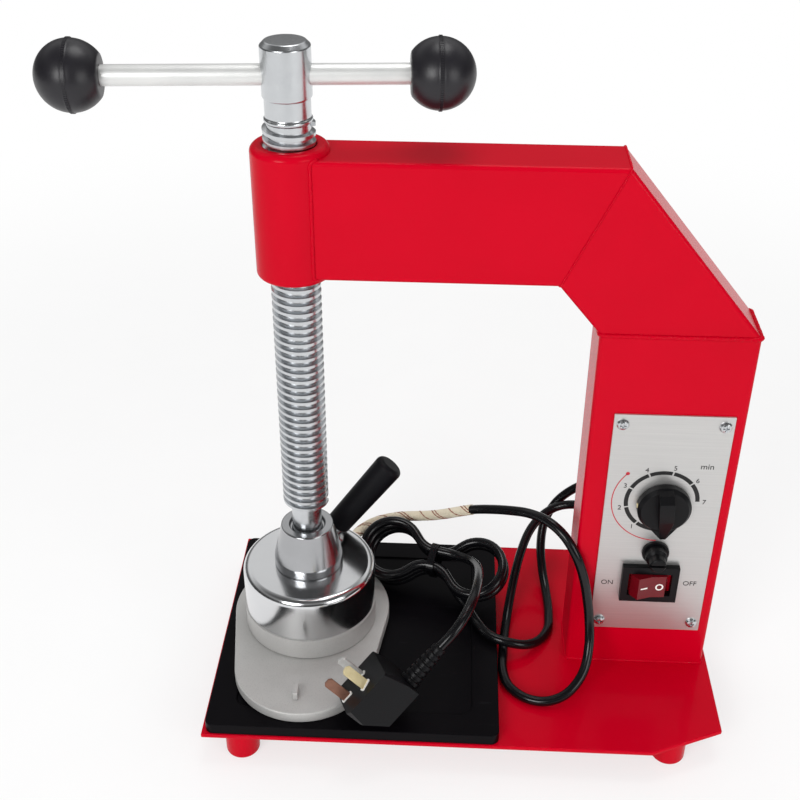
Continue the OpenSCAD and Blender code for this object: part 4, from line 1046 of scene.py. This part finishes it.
# %% Handle
HANDLE_TURN = math.radians(15)
HANDLE_RISE = math.radians(50)
LUG_LEN = 9
GRIP_LEN = 59
GRIP_R = 8.5
GRIP_END_R = 9.75
HANDLE_FOOT = (10.6, 27.5)
out = math.cos(HANDLE_RISE)
lean_out = Vector((out * math.cos(HANDLE_TURN), out * math.sin(HANDLE_TURN), math.sin(HANDLE_RISE)))
handle_place = stand(spot(*HANDLE_FOOT, cap_high[2]), lean_out)
grip_end = LUG_LEN + GRIP_LEN
grip_line = [
    (0, LUG_LEN), (GRIP_R - 1.5, LUG_LEN), (GRIP_R, LUG_LEN + 1.5), (GRIP_END_R, grip_end - 3),
    (GRIP_END_R - 0.6, grip_end - 1.4), (GRIP_END_R - 2, grip_end - 0.3), (GRIP_END_R - 3, grip_end),
    (0, grip_end)]
grip = turned("grip_sleeve", softened(grip_line, 1.2), handle_place, 64)
settle(grip, "head", GRIP_BLACK, "knob_black", "handle_grip")

# %% [markdown]
# ## The screw
# A press screw is a bar with a square-shouldered thread. Its shape follows a rule, one turn per pitch,
# so Geometry Nodes build it: a spiral curve carries a trapezoid round a core. The normal is set to Z
# up, because the default one would slowly roll the trapezoid over.

# %% Thread tree
THREAD_PITCH = 5.0
THREAD_DEPTH = 2.4
THREAD_R = 14.5
TIP_SHOWS = 17
THREAD_OVER = 15
ROOT_SHARE = 0.86
CREST_SHARE = 0.36
SPIRAL_STEPS = 48
thread_low = cone_high[2] + TIP_SHOWS
thread_high = boss_z1 + THREAD_OVER


def socket_of(tree, name):
    """The identifier of a tree's input, by which a modifier's value is set."""
    return next(s.identifier for s in tree.interface.items_tree if s.name == name and s.in_out == "INPUT")


def new_tree(name, inputs):
    """An empty Geometry Nodes tree with named inputs; gives the tree and its input node."""
    tree = bpy.data.node_groups.new(name, "GeometryNodeTree")
    tree.interface.new_socket("Geometry", in_out="INPUT", socket_type="NodeSocketGeometry")
    for label, kind in inputs.items():
        tree.interface.new_socket(label, in_out="INPUT", socket_type="NodeSocket" + kind)
    tree.interface.new_socket("Geometry", in_out="OUTPUT", socket_type="NodeSocketGeometry")
    return tree, put(tree, "NodeGroupInput").outputs


def close_tree(tree, geometry, material):
    """Ends a tree: instances made real, shaded smooth, and given their material."""
    real = put(tree, "GeometryNodeRealizeInstances", {"Geometry": geometry})
    smooth = put(tree, "GeometryNodeSetShadeSmooth", {"Geometry": real.outputs[0]})
    coated = put(tree, "GeometryNodeSetMaterial", {"Geometry": smooth.outputs[0], "Material": material})
    put(tree, "NodeGroupOutput", {"Geometry": coated.outputs[0]})


def grow(name, source, tree, values):
    """Runs a tree on a curve or mesh and keeps the result as a plain mesh object."""
    rig = source or skin(name + "_seed", [(0, 0, 0)], [])
    nodes = rig.modifiers.new(tree.name, "NODES")
    nodes.node_group = tree
    for label, value in values.items():
        nodes[socket_of(tree, label)] = value
    mesh = plain_mesh(rig)
    bpy.data.objects.remove(rig)
    return add(name, mesh)


def thread_tree():
    """A trapezoid carried up a spiral; half of its height sinks into the shaft."""
    tree, size = new_tree("screw thread", {
        "Root Radius": "Float", "Depth": "Float", "Pitch": "Float", "Turns": "Float", "Height": "Float",
        "Material": "Material"})
    spiral = put(tree, "GeometryNodeCurveSpiral", {
        "Resolution": SPIRAL_STEPS, "Rotations": size["Turns"], "Start Radius": size["Root Radius"],
        "End Radius": size["Root Radius"], "Height": size["Height"]})
    upright = put(tree, "GeometryNodeSetCurveNormal", {"Curve": spiral.outputs[0]}, mode="Z_UP")
    wide = put(tree, "ShaderNodeMath", {0: size["Pitch"], 1: ROOT_SHARE}, operation="MULTIPLY")
    crest = put(tree, "ShaderNodeMath", {0: size["Pitch"], 1: CREST_SHARE}, operation="MULTIPLY")
    deep = put(tree, "ShaderNodeMath", {0: size["Depth"], 1: 2.0}, operation="MULTIPLY")
    tooth = put(tree, "GeometryNodeCurvePrimitiveQuadrilateral", {
        "Bottom Width": wide.outputs[0], "Top Width": crest.outputs[0], "Offset": 0.0,
        "Height": deep.outputs[0]}, mode="TRAPEZOID")
    outward = put(tree, "GeometryNodeTransform", {
        "Geometry": tooth.outputs[0], "Rotation": (0, 0, math.pi / 2)})
    ridge = put(tree, "GeometryNodeCurveToMesh", {
        "Curve": upright.outputs[0], "Profile Curve": outward.outputs[0], "Fill Caps": True})
    close_tree(tree, ridge.outputs[0], size["Material"])
    return tree


turns = math.floor((thread_high - thread_low) / THREAD_PITCH) - 1
thread = grow("spindle_thread", None, thread_tree(), {
    "Root Radius": (THREAD_R - THREAD_DEPTH) * MM, "Depth": THREAD_DEPTH * MM, "Pitch": THREAD_PITCH * MM,
    "Turns": float(turns), "Height": turns * THREAD_PITCH * MM, "Material": BRIGHT_ZINC})
thread.data.transform(Matrix.Translation(spot(0, 0, thread_low + THREAD_PITCH / 2)))
settle(thread, "spindle", BRIGHT_ZINC, "plated_steel", crease=30)

# %% [markdown]
# ## The shaft of the screw
# Under the thread lies a turned bar: a plain tip that stands in the cone, the root of the thread, a neck and
# the drilled head. It is one profile on the lathe, so that the thread can sink into it without a seam.

# %% Shaft of the screw
TIP_R = 9.5
NECK_R = 12.5
NECK_H = 10
HEAD_R = 13.5
HEAD_H = 30
root_r = THREAD_R - THREAD_DEPTH
tip_low = measure("spindle")[0][2]
neck_top = thread_high + NECK_H
head_top = neck_top + HEAD_H
crest_r = THREAD_R - 1.2
shaft_line = [
    (0, tip_low), (TIP_R - 1, tip_low), (TIP_R, tip_low + 1), (TIP_R, thread_low), (root_r, thread_low + 0.8),
    (root_r, thread_high - 3), (crest_r, thread_high - 2.4), (crest_r, thread_high - 0.8),
    (NECK_R, thread_high), (NECK_R, neck_top), (HEAD_R - 0.9, neck_top), (HEAD_R, neck_top + 0.9),
    (HEAD_R, head_top - 2.5), (HEAD_R - 2.5, head_top), (0, head_top)]
shaft = turned("spindle_shaft", softened(shaft_line, 0.6), stand(spot(0, 0, 0)))
settle(shaft, "spindle", BRIGHT_ZINC, "plated_steel", "spindle")

# %% [markdown]
# ## The tommy bar
# The bar is plain round stock that slides through the screw's head, so it is a short profile on the lathe,
# laid along the bar's own direction. Its ends are hidden in the knobs.

# %% Bar
BAR_TURN = math.radians(4.5)
BAR_R = 5.6
BAR_ROUND = 0.5
BAR_DOWN = 18
BAR_IN_KNOB = 5
BAR_SIDES = 48
KNOB_PLACES = {"left": -111.5, "right": 80.5}
bar_z = head_top - BAR_DOWN
bar_dir = Vector((math.cos(BAR_TURN), math.sin(BAR_TURN), 0))
bar_place = stand(spot(0, 0, bar_z), bar_dir)
bar_from = KNOB_PLACES["left"] - BAR_IN_KNOB
bar_to = KNOB_PLACES["right"] + BAR_IN_KNOB
bar_line = [(0, bar_from), (BAR_R - BAR_ROUND, bar_from), (BAR_R, bar_from + BAR_ROUND),
            (BAR_R, bar_to - BAR_ROUND), (BAR_R - BAR_ROUND, bar_to), (0, bar_to)]
bar = turned("bar_stock", bar_line, bar_place, BAR_SIDES)
settle(bar, "tommy_bar", SATIN_STEEL, "plated_steel", "tommy_bar")

# %% [markdown]
# ## The ball knobs
# The knobs are phenolic balls with a flat where the bar enters and a ridge with fine teeth where the two
# halves of the mould met. The teeth repeat, so a tree sets them round a circle.

# %% Knobs
KNOB_R = 19
KNOB_FLAT = 15.5
RIDGE_H = 0.4
RIDGE_W = 2.4
TEETH = 96
TOOTH = (0.5, RIDGE_W * 0.7, 0.6)


def teeth_tree():
    """Small blocks set round a circle, each with its long side along the axis."""
    tree, size = new_tree("mould ridge teeth", {
        "Radius": "Float", "Count": "Int", "Tooth": "Vector", "Material": "Material"})
    circle = put(tree, "GeometryNodeCurvePrimitiveCircle", {
        "Radius": size["Radius"], "Resolution": size["Count"]})
    spots = put(tree, "GeometryNodeCurveToPoints", {"Curve": circle.outputs[0]}, mode="EVALUATED")
    block = put(tree, "GeometryNodeMeshCube", {"Size": size["Tooth"]})
    row = put(tree, "GeometryNodeInstanceOnPoints", {
        "Points": spots.outputs["Points"], "Instance": block.outputs[0], "Rotation": spots.outputs["Rotation"]})
    close_tree(tree, row.outputs[0], size["Material"])
    return tree


ridge_teeth = teeth_tree()
half_ridge = math.degrees(math.asin(RIDGE_W / 2 / KNOB_R))
flat_r = math.sqrt(KNOB_R ** 2 - KNOB_FLAT ** 2)
flat_angle = math.degrees(math.asin(KNOB_FLAT / KNOB_R))
knob_line = [(0, -KNOB_FLAT), (flat_r - 0.8, -KNOB_FLAT)]
knob_line += arc(0, 0, KNOB_R, -flat_angle + 2, -half_ridge, 20)
ridge_r = KNOB_R + RIDGE_H * 0.6
knob_line += [(ridge_r, -RIDGE_W / 2 + 0.3), (ridge_r, RIDGE_W / 2 - 0.3)]
knob_line += arc(0, 0, KNOB_R, half_ridge, 88, 24) + [(0, KNOB_R)]
for side, along in KNOB_PLACES.items():
    outwards = bar_dir if along > 0 else -bar_dir
    place = stand(spot(0, 0, bar_z) + bar_dir * along * MM, outwards)
    knob = turned("knob_" + side, knob_line, place)
    settle(knob, "tommy_bar", PHENOLIC, "knob_black", "ball_knob_" + side)
    teeth = grow("knob_teeth_" + side, None, ridge_teeth, {
        "Radius": ridge_r * MM, "Count": TEETH, "Tooth": tuple(s * MM for s in TOOTH), "Material": PHENOLIC})
    teeth.data.transform(place @ Matrix.Scale(1 / MM, 4))
    settle(teeth, "tommy_bar", PHENOLIC, "knob_black")

# %% [markdown]
# ## Weld seams
# Under the paint each joint of the frame has a weld: a row of overlapping ripples. They follow a path,
# so a tree drops a small ball every millimetre or so along the ring where two tubes meet.

# %% Welds
BEAD_STEP = 0.8
LEAST, MOST = 2, 3  # the sockets of a Random Value node that gives one number


def bead_tree():
    """Ripples of weld along a curve, each a little larger or smaller than the last."""
    tree, size = new_tree("weld ripples", {
        "Step": "Float", "Radius": "Float", "Seed": "Int", "Material": "Material"})
    spots = put(tree, "GeometryNodeCurveToPoints", {
        "Curve": size["Geometry"], "Length": size["Step"]}, mode="LENGTH")
    drop = put(tree, "GeometryNodeMeshUVSphere", {"Segments": 8, "Rings": 5, "Radius": size["Radius"]})
    vary = put(tree, "FunctionNodeRandomValue", {LEAST: 0.88, MOST: 1.1, "Seed": size["Seed"]},
               data_type="FLOAT")
    row = put(tree, "GeometryNodeInstanceOnPoints", {
        "Points": spots.outputs["Points"], "Instance": drop.outputs[0],
        "Rotation": spots.outputs["Rotation"], "Scale": vary.outputs[1]})
    close_tree(tree, row.outputs[0], size["Material"])
    return tree


def path_curve(name, points):
    """A closed poly curve through points."""
    data = bpy.data.curves.new(name, "CURVE")
    data.dimensions = "3D"
    line = data.splines.new("POLY")
    line.points.add(len(points) - 1)
    for knot, p in zip(line.points, points):
        knot.co = (*p, 1)
    line.use_cyclic_u = True
    return add(name, data)


weld_ripples = bead_tree()
seams = {"mitre": (mitre_ring(), 0.7), "slope": (slope_foot_ring(), 1.5),
         "boss": (boss_ring(0), 1.2), "column": (column_ring(0.2), 1.0)}
for i, (label, (ring, bead_r)) in enumerate(seams.items()):
    weld = grow("weld_" + label, path_curve("seam", ring), weld_ripples, {
        "Step": BEAD_STEP * MM, "Radius": bead_r * MM, "Seed": i, "Material": RED_ENAMEL})
    settle(weld, "frame", RED_ENAMEL, "red_paint", crease=80)

# %% [markdown]
# ## The control panel
# A brushed plate carries the timer, a fuse and the mains switch. Plate, knob, bezel and cap are
# straight-sided, so merged copies of their solids with broken edges are enough, and the print is
# made of thin shapes that lie on the plate. A small set screw holds the knob on its shaft.

# %% Panel and controls
panel_low, panel_high = measure("control_panel")
PANEL_X = (panel_low[0] + panel_high[0]) / 2
PANEL_Y = panel_low[1]
TIMER_X = PANEL_X + 0.7
TIMER_Z = 133
TIMER_R = 16.5
SET_SCREW_R = 1.6
SET_SCREW_IN = 1.5
SET_SCREW_OUT = 0.4
dressed("control_panel", "panel_plate", "frame", BRUSHED_ALUMINIUM, "panel_aluminium", 0.25, 2)
dressed("timer_knob", "timer_pointer_knob", "timer_knob", ABS_BLACK, "knob_black", 0.9, 3, 30)
set_screw_line = softened([(0, -SET_SCREW_IN), (SET_SCREW_R, -SET_SCREW_IN), (SET_SCREW_R, SET_SCREW_OUT),
                           (0, SET_SCREW_OUT)], 0.2)
set_screw_at = spot(TIMER_X - TIMER_R, PANEL_Y - 3, TIMER_Z + 1.5)
set_screw = turned("timer_set_screw", set_screw_line, stand(set_screw_at, (-1, 0, 0)), 24)
settle(set_screw, "timer_knob", BRASS_BLADE, "blade_brass")
dressed("switch_housing", "switch_bezel", "frame", ABS_BLACK, "black_plastic", 0.5, 3)
dressed("switch_rocker", "rocker_key", "rocker", ROCKER_RED, "red_rocker", 0.4, 3)
dressed("fuse_cap", "fuse_carrier", "fuse_cap", ABS_BLACK, "black_plastic", 0.35, 2)

# %% [markdown]
# ## Marks on the rocker
# A line and a ring are printed in white on the rocker's two slopes. Flat shapes a tenth of a millimetre
# thick are simple and stay sharp from any side, so all print here is made that way. The slopes fall away
# from the pivot, and each mark is tilted with its slope.

# %% Rocker marks
INK = 0.1
ROCKER_TILT = math.radians(12)
ROCKER_PIVOT = (PANEL_X - 1.3, PANEL_Y - 2.3, 71.6)
ROCKER_MID = -3.8
ROCKER_FALL = 1.2 / 9
rocker_place = Matrix.Translation(spot(*ROCKER_PIVOT)) @ Matrix.Rotation(ROCKER_TILT, 4, "Z")


def rocker_mark(name, outline, along):
    """White print on one slope of the rocker, at so many millimetres from its pivot."""
    slope_turn = math.atan2(-along * ROCKER_FALL, abs(along))
    face_y = ROCKER_MID - abs(along) * ROCKER_FALL
    place = rocker_place @ Matrix.Translation(Vector((along, face_y, 0)) * MM)
    place = place @ Matrix.Rotation(slope_turn, 4, "Z") @ Matrix.Scale(MM, 4)
    rings = [[place @ Vector((x, -y, z)) for x, z in outline] for y in (0.0, INK)]
    return settle(joined_rings(name, rings), "rocker", INK_WHITE, "red_rocker")


rocker_mark("rocker_mark_on", [(-2.3, -0.5), (2.3, -0.5), (2.3, 0.5), (-2.3, 0.5)], -4.9)
rocker_mark("rocker_mark_off", arc(0, 0, 2.6, 0, 359, 32) + arc(0, 0, 1.7, 359, 0, 32), 5.2)

# %% [markdown]
# ## The dial print
# Numbers, a ring of seven bars and a red arc are silk-screened on the plate. The bars run from number to
# number, clockwise, with a short gap at each, so one list of angles sets bars and numbers alike.

# %% Dial bars and arc
DIAL_X = 222.3
DIAL_Z = 135.7
RING_R = 21.7
RING_W = 2.6
RING_START = 263.5
BAR_GAP = 1.3
NUMBERS = 7
FIRST_NUMBER = 231
NUMBER_STEP = 230 / 6
RED_R = 30.5
RED_W = 0.6
RED_FROM, RED_TO, RED_DOT = 270, 139, 138
PRINT_STEP = 3


def printed(name, outline, finish):
    """Print on the panel, from an outline in millimetres along it and up."""
    rings = [[spot(x, PANEL_Y - y, z) for x, z in outline] for y in (0.0, INK)]
    return settle(joined_rings(name, rings), "frame", finish, "panel_aluminium")


def dial_band(name, radius, width, start, end, finish):
    """A printed stretch of a ring round the dial, angles in degrees."""
    steps = max(2, int(abs(end - start) / PRINT_STEP))
    outer = arc(DIAL_X, DIAL_Z, radius + width / 2, start, end, steps)
    inner = arc(DIAL_X, DIAL_Z, radius - width / 2, end, start, steps)
    return printed(name, outer + inner, finish)


def on_dial(radius, degrees):
    """A place on the panel, by its radius and angle on the dial."""
    angle = math.radians(degrees)
    return DIAL_X + radius * math.cos(angle), DIAL_Z + radius * math.sin(angle)


number_angles = [FIRST_NUMBER - NUMBER_STEP * i for i in range(NUMBERS)]
stops = [RING_START] + number_angles
for i, (start, end) in enumerate(zip(stops, stops[1:])):
    dial_band("dial_bar_%d" % i, RING_R, RING_W, start - BAR_GAP, end + BAR_GAP, INK_BLACK)
dial_band("dial_arc", RED_R, RED_W, RED_FROM, RED_TO, INK_RED)
printed("dial_start", arc(*on_dial(RED_R, RED_DOT), 1.2, 0, 345, 23), INK_RED)
printed("dial_off", arc(DIAL_X + 15.5, DIAL_Z - 14.6, 1.0, 0, 345, 23), INK_BLACK)

# %% [markdown]
# ## Numbers and words
# Text is a curve in Blender. The export wants mesh, so each word becomes a mesh first, is then stood up to
# face the front, and is put in its place last.

# %% Numbers and words
NUMBER_R = 25.8
NUMBER_H = 3.4
UNIT_H = 4.0
WORD_H = 3.6
TYPE_SIZE = 1.4


def lettering(name, words, height, x, z):
    """Generic black marks on the panel: numbers on the dial, its unit, and the switch's two words."""
    data = bpy.data.curves.new(name, "FONT")
    data.body = words
    data.size = height * TYPE_SIZE * MM
    data.align_x = "CENTER"
    data.align_y = "CENTER"
    data.extrude = INK / 2 * MM
    rig = add(name + "_rig", data)
    mesh = plain_mesh(rig)
    bpy.data.objects.remove(rig)
    place = Matrix.Translation(spot(x, PANEL_Y - INK / 2, z))
    mesh.transform(place @ Matrix.Rotation(math.pi / 2, 4, "X"))
    made = rework(add(name, mesh), close_seams, face_out)
    return settle(made, "frame", INK_BLACK, "panel_aluminium")


for i, degrees in enumerate(number_angles):
    lettering("dial_number_%d" % (i + 1), str(i + 1), NUMBER_H, *on_dial(NUMBER_R, degrees))
lettering("dial_unit", "min", UNIT_H, DIAL_X + 24.3, DIAL_Z + 27)
lettering("mark_on", "ON", WORD_H, PANEL_X - 27.7, 69.5)
lettering("mark_off", "OFF", WORD_H, PANEL_X + 24.9, 70.6)

# %% [markdown]
# ## The plug
# The angled plug is moulded round its cable with a ribbed relief. The body is a merged copy with generous
# rounds. The relief is turned, and its ribs get smaller towards the cable.

# %% Plug and relief
plug_body = dressed("plug_body", "plug_moulding", "frame", ABS_BLACK, "black_plastic", 1.6, 4, 30)
RELIEF_R0 = 6.0
RELIEF_R1 = MAINS_DIA / 2 + 1.2
RELIEF_RIM = RELIEF_R0 + 0.6
SPIGOT_R = 4.4
SPIGOT_IN = 2.9
RIM_FROM = 1.05
RIBS = 6
RIBS_FROM = 4
RIBS_END = 1
RIB_DEEP = 1.1
RIB_GAP = 0.35
rib_step = (RELIEF_LEN - RIBS_FROM - RIBS_END) / RIBS
relief_line = [(0, -SPIGOT_IN), (SPIGOT_R, -SPIGOT_IN), (SPIGOT_R, RIM_FROM), (RELIEF_RIM, RIM_FROM),
               (RELIEF_RIM, RIBS_FROM)]
for i in range(RIBS):
    rib_r = RELIEF_R0 + (RELIEF_R1 - RELIEF_R0) * i / RIBS
    low = RIBS_FROM + i * rib_step
    gap_end = low + RIB_GAP * rib_step
    relief_line += [(rib_r - RIB_DEEP, low), (rib_r - RIB_DEEP, gap_end), (rib_r, gap_end),
                    (rib_r, low + rib_step)]
relief_line += [(RELIEF_R1, RIBS_FROM + RIBS * rib_step), (RELIEF_R1, RELIEF_LEN), (0, RELIEF_LEN)]
relief_place = stand(spot(*relief_from), relief_dir)
relief = turned("plug_strain_relief", softened(relief_line, 0.4), relief_place, 48)
settle(relief, "frame", ABS_BLACK, "black_plastic", "plug_relief")

# %% [markdown]
# ## The blades
# Each blade is stamped from brass sheet with its two corners cut, and has its own tint; the earth blade's
# dark brown is painted shade. A plain white collar rings each blade. Blade and collar are outlines with a
# thickness, drawn flat and turned into the plug.

# %% Blades
BLADE_LEN = 18
BLADE_IN = 4
BLADE_W = 6.35
BLADE_T = 1.6
BLADE_CUT = 1.6
COLLAR_RIM = 1.8
COLLAR_ROUND = 0.9
COLLAR_FROM, COLLAR_TO = -1.0, 0.7
# The earth blade's dark tint is painted shade on brass.
BLADES = {"earth": (-10.31, 0, 0, SHADED_EARTH_BLADE), "live": (3.96, 6.86, 30, BRASS_BLADE),
          "neutral": (3.96, -6.86, -30, SILVER_BLADE)}
half = BLADE_W / 2
blade_outline = [
    (-half, -BLADE_IN), (half, -BLADE_IN), (half, BLADE_LEN - BLADE_CUT), (half - BLADE_CUT, BLADE_LEN),
    (BLADE_CUT - half, BLADE_LEN), (-half, BLADE_LEN - BLADE_CUT)]
collar_outline = round_rect(BLADE_W + COLLAR_RIM, BLADE_T + COLLAR_RIM, COLLAR_ROUND, 4)
plug_place = Matrix.Translation(spot(*PLUG_AT)) @ plug_turns.to_4x4() @ Matrix.Scale(MM, 4)
plug_pieces = [plug_body, relief]
for label, (along, across, lean_deg, metal) in BLADES.items():
    turn = Matrix.Rotation(math.radians(lean_deg), 4, "Y")
    blade_place = plug_place @ Matrix.Translation((along, 0, across)) @ turn
    rings = [[blade_place @ Vector((x, y, z)) for x, y in blade_outline] for z in (-BLADE_T / 2, BLADE_T / 2)]
    blade = joined_rings("blade_" + label, rings)
    break_edges(blade, 0.25, 2)
    settle(blade, "frame", metal, "blade_brass", *(["plug_pins"] if label == "earth" else []))
    rings = [[blade_place @ Vector((x, y, z)) for x, z in collar_outline] for y in (COLLAR_FROM, COLLAR_TO)]
    collar = joined_rings("blade_collar_" + label, rings)
    settle(collar, "frame", WHITE_RING_TINT, "cream_insulation")
    plug_pieces += [blade, collar]

# %% [markdown]
# ## What is on the mains cord
# The plug's body, its relief, the blades and their collars end the mains cord, and their names are printed
# here.

print("pieces on the mains cord:", [piece.name for piece in plug_pieces])

# %% [markdown]
# ## Pieces that stay as solids
# Screws, glands and everything inside keep their solids, which already have the right shape, and only
# get a finish. The record says which slot each piece belongs to.

# %% Finishes for the remaining solids
SLOT_FINISH = {
    "red_paint": RED_ENAMEL, "black_enamel": BLACK_ENAMEL, "cast_aluminium": CAST_ALUMINIUM,
    "panel_aluminium": BRUSHED_ALUMINIUM, "plated_steel": BRIGHT_ZINC, "chrome": CHROME,
    "heater_steel": ELEMENT_STEEL, "cream_insulation": CREAM, "knob_black": PHENOLIC,
    "black_plastic": ABS_BLACK, "red_rocker": ROCKER_RED, "gland_rubber": RUBBER, "fuse_glass": GLASS,
    "cord_black": CORD_PVC, "woven_sleeve": YARN, "blade_brass": BRASS_BLADE}
for part in frame["record"]["subparts"]:
    solid = frame["nodes"][part["node"]]
    solid.data.materials.clear()
    solid.data.materials.append(SLOT_FINISH[part["material_slot"]])

# %% [markdown]
# ## The floor
# The press stands on pale paper that keeps its shadow and runs out to plain white further off, where a
# strength of one is white. Mirrors and glass see that white as the camera does, so that they show the
# background too, but scattered light doesn't, or the floor would light the press.

# %% Floor
FLOOR_HALF = 3
FADE_FROM = 0.35
FADE_TO = 1.1
NEAR_WHITE = 0.65
scene = bpy.context.scene
scene.view_settings.view_transform = "Standard"
floor = skin("floor", [(-FLOOR_HALF, -FLOOR_HALF, 0), (FLOOR_HALF, -FLOOR_HALF, 0),
                       (FLOOR_HALF, FLOOR_HALF, 0), (-FLOOR_HALF, FLOOR_HALF, 0)], [(0, 1, 2, 3)])


def seen_ray(tree):
    """1 for what the camera sees by itself, in a mirror or through glass, and 0 for scattered light."""
    rays = put(tree, "ShaderNodeLightPath").outputs
    mirrored = put(tree, "ShaderNodeMath", {0: rays["Is Camera Ray"], 1: rays["Is Glossy Ray"]},
                   operation="ADD")
    both = put(tree, "ShaderNodeMath", {0: mirrored.outputs[0], 1: rays["Is Transmission Ray"]},
               operation="ADD", use_clamp=True)
    return both.outputs[0]


def floor_paper():
    """Matt white paper that keeps the shadow near the press and runs out to plain white further off."""
    made, tree, shader, place = new_finish("floor_paper", Specular_IOR_Level=0.0)
    finish_surface(tree, shader, place, ("#f0f0f0", "#f6f6f6", 50), 4, (0.8, 0.9), 0.004)
    away = put(tree, "ShaderNodeVectorMath", {0: place}, operation="LENGTH")
    far = put(tree, "ShaderNodeMapRange", {
        "Value": away.outputs["Value"], "From Min": FADE_FROM, "From Max": FADE_TO, "To Min": NEAR_WHITE},
        interpolation_type="SMOOTHSTEP")
    lit = put(tree, "ShaderNodeMath", {0: far.outputs["Result"], 1: seen_ray(tree)}, operation="MULTIPLY")
    white = put(tree, "ShaderNodeEmission", {"Color": tint("#ffffff"), "Strength": 1.0})
    both = put(tree, "ShaderNodeMixShader", {0: lit.outputs[0], 1: shader.outputs[0], 2: white.outputs[0]})
    put(tree, "ShaderNodeOutputMaterial", {"Surface": both.outputs[0]}, is_active_output=True)
    return made


floor.data.materials.append(floor_paper())
print("floor:", 2 * FLOOR_HALF, "m square")

# %% [markdown]
# ## The room
# To the camera the world is plain white. To mirrors it is a studio: a white wall behind the press, a darker
# room in front, and less light low down and overhead, so that chrome gets its dark and bright bands. As a
# light it is dimmer, so that colours render about as they are written.

# %% Room
AMBIENT = 0.6
NUMBER_FROM, NUMBER_TO = 2, 3  # the sockets of a Mix node that is set to plain numbers
ROOM_FADES = {  # each by a direction: the axis, where the fade begins and ends, and its two strengths
    "wall behind": ("Y", -0.1, 0.7, 0.3, 1.0),
    "low down": ("Z", 0.34, 0.56, 0.16, 0.8),
    "overhead": ("Z", 0.62, 0.85, 1.0, 0.4)}
world = bpy.data.worlds.new("studio")
scene.world = world
world.use_nodes = True
room = world.node_tree
room.nodes.clear()
towards = put(room, "ShaderNodeTexCoord").outputs["Generated"]
shares = put(room, "ShaderNodeSeparateXYZ", {"Vector": towards}).outputs
mirrored_room = 1.0
for axis, start, end, first, last in ROOM_FADES.values():
    fade = put(room, "ShaderNodeMapRange", {
        "Value": shares[axis], "From Min": start, "From Max": end, "To Min": first, "To Max": last},
        interpolation_type="SMOOTHSTEP")
    mirrored_room = put(room, "ShaderNodeMath", {0: mirrored_room, 1: fade.outputs["Result"]},
                        operation="MULTIPLY").outputs[0]
rays = put(room, "ShaderNodeLightPath").outputs
bright = put(room, "ShaderNodeMath", {0: mirrored_room, 1: rays["Is Camera Ray"]}, operation="MAXIMUM")
strength = put(room, "ShaderNodeMix", {
    MIX_SHARE: seen_ray(room), NUMBER_FROM: AMBIENT, NUMBER_TO: bright.outputs[0]}, data_type="FLOAT")
backdrop = put(room, "ShaderNodeBackground", {"Color": tint("#ffffff"), "Strength": strength.outputs[0]})
put(room, "ShaderNodeOutputWorld", {"Surface": backdrop.outputs[0]})
print("fades in the room:", list(ROOM_FADES))

# %% [markdown]
# ## The lamps
# Three soft area lamps point at the middle of the press: a key from the front left, a weaker fill from the
# right and one from above. They are kept low, because more light would only wash out the paint.

# %% Lamps
LAMP_SIDE = 0.6
LIT_POINT = Vector((0, 0, 0.15))
LAMPS = {"key": ((-0.6, -1.2, 0.8), 10), "fill": ((0.9, -0.9, 0.6), 4), "top": ((0.1, 0.25, 1.4), 4.5)}
for label, (at, watts) in LAMPS.items():
    lamp = add(label, bpy.data.lights.new(label, "AREA"))
    lamp.data.size = LAMP_SIDE
    lamp.data.energy = watts
    aim = (LIT_POINT - Vector(at)).to_track_quat("-Z", "Y").to_matrix().to_4x4()
    lamp.matrix_world = Matrix.Translation(at) @ aim
print("lamps:", list(LAMPS))
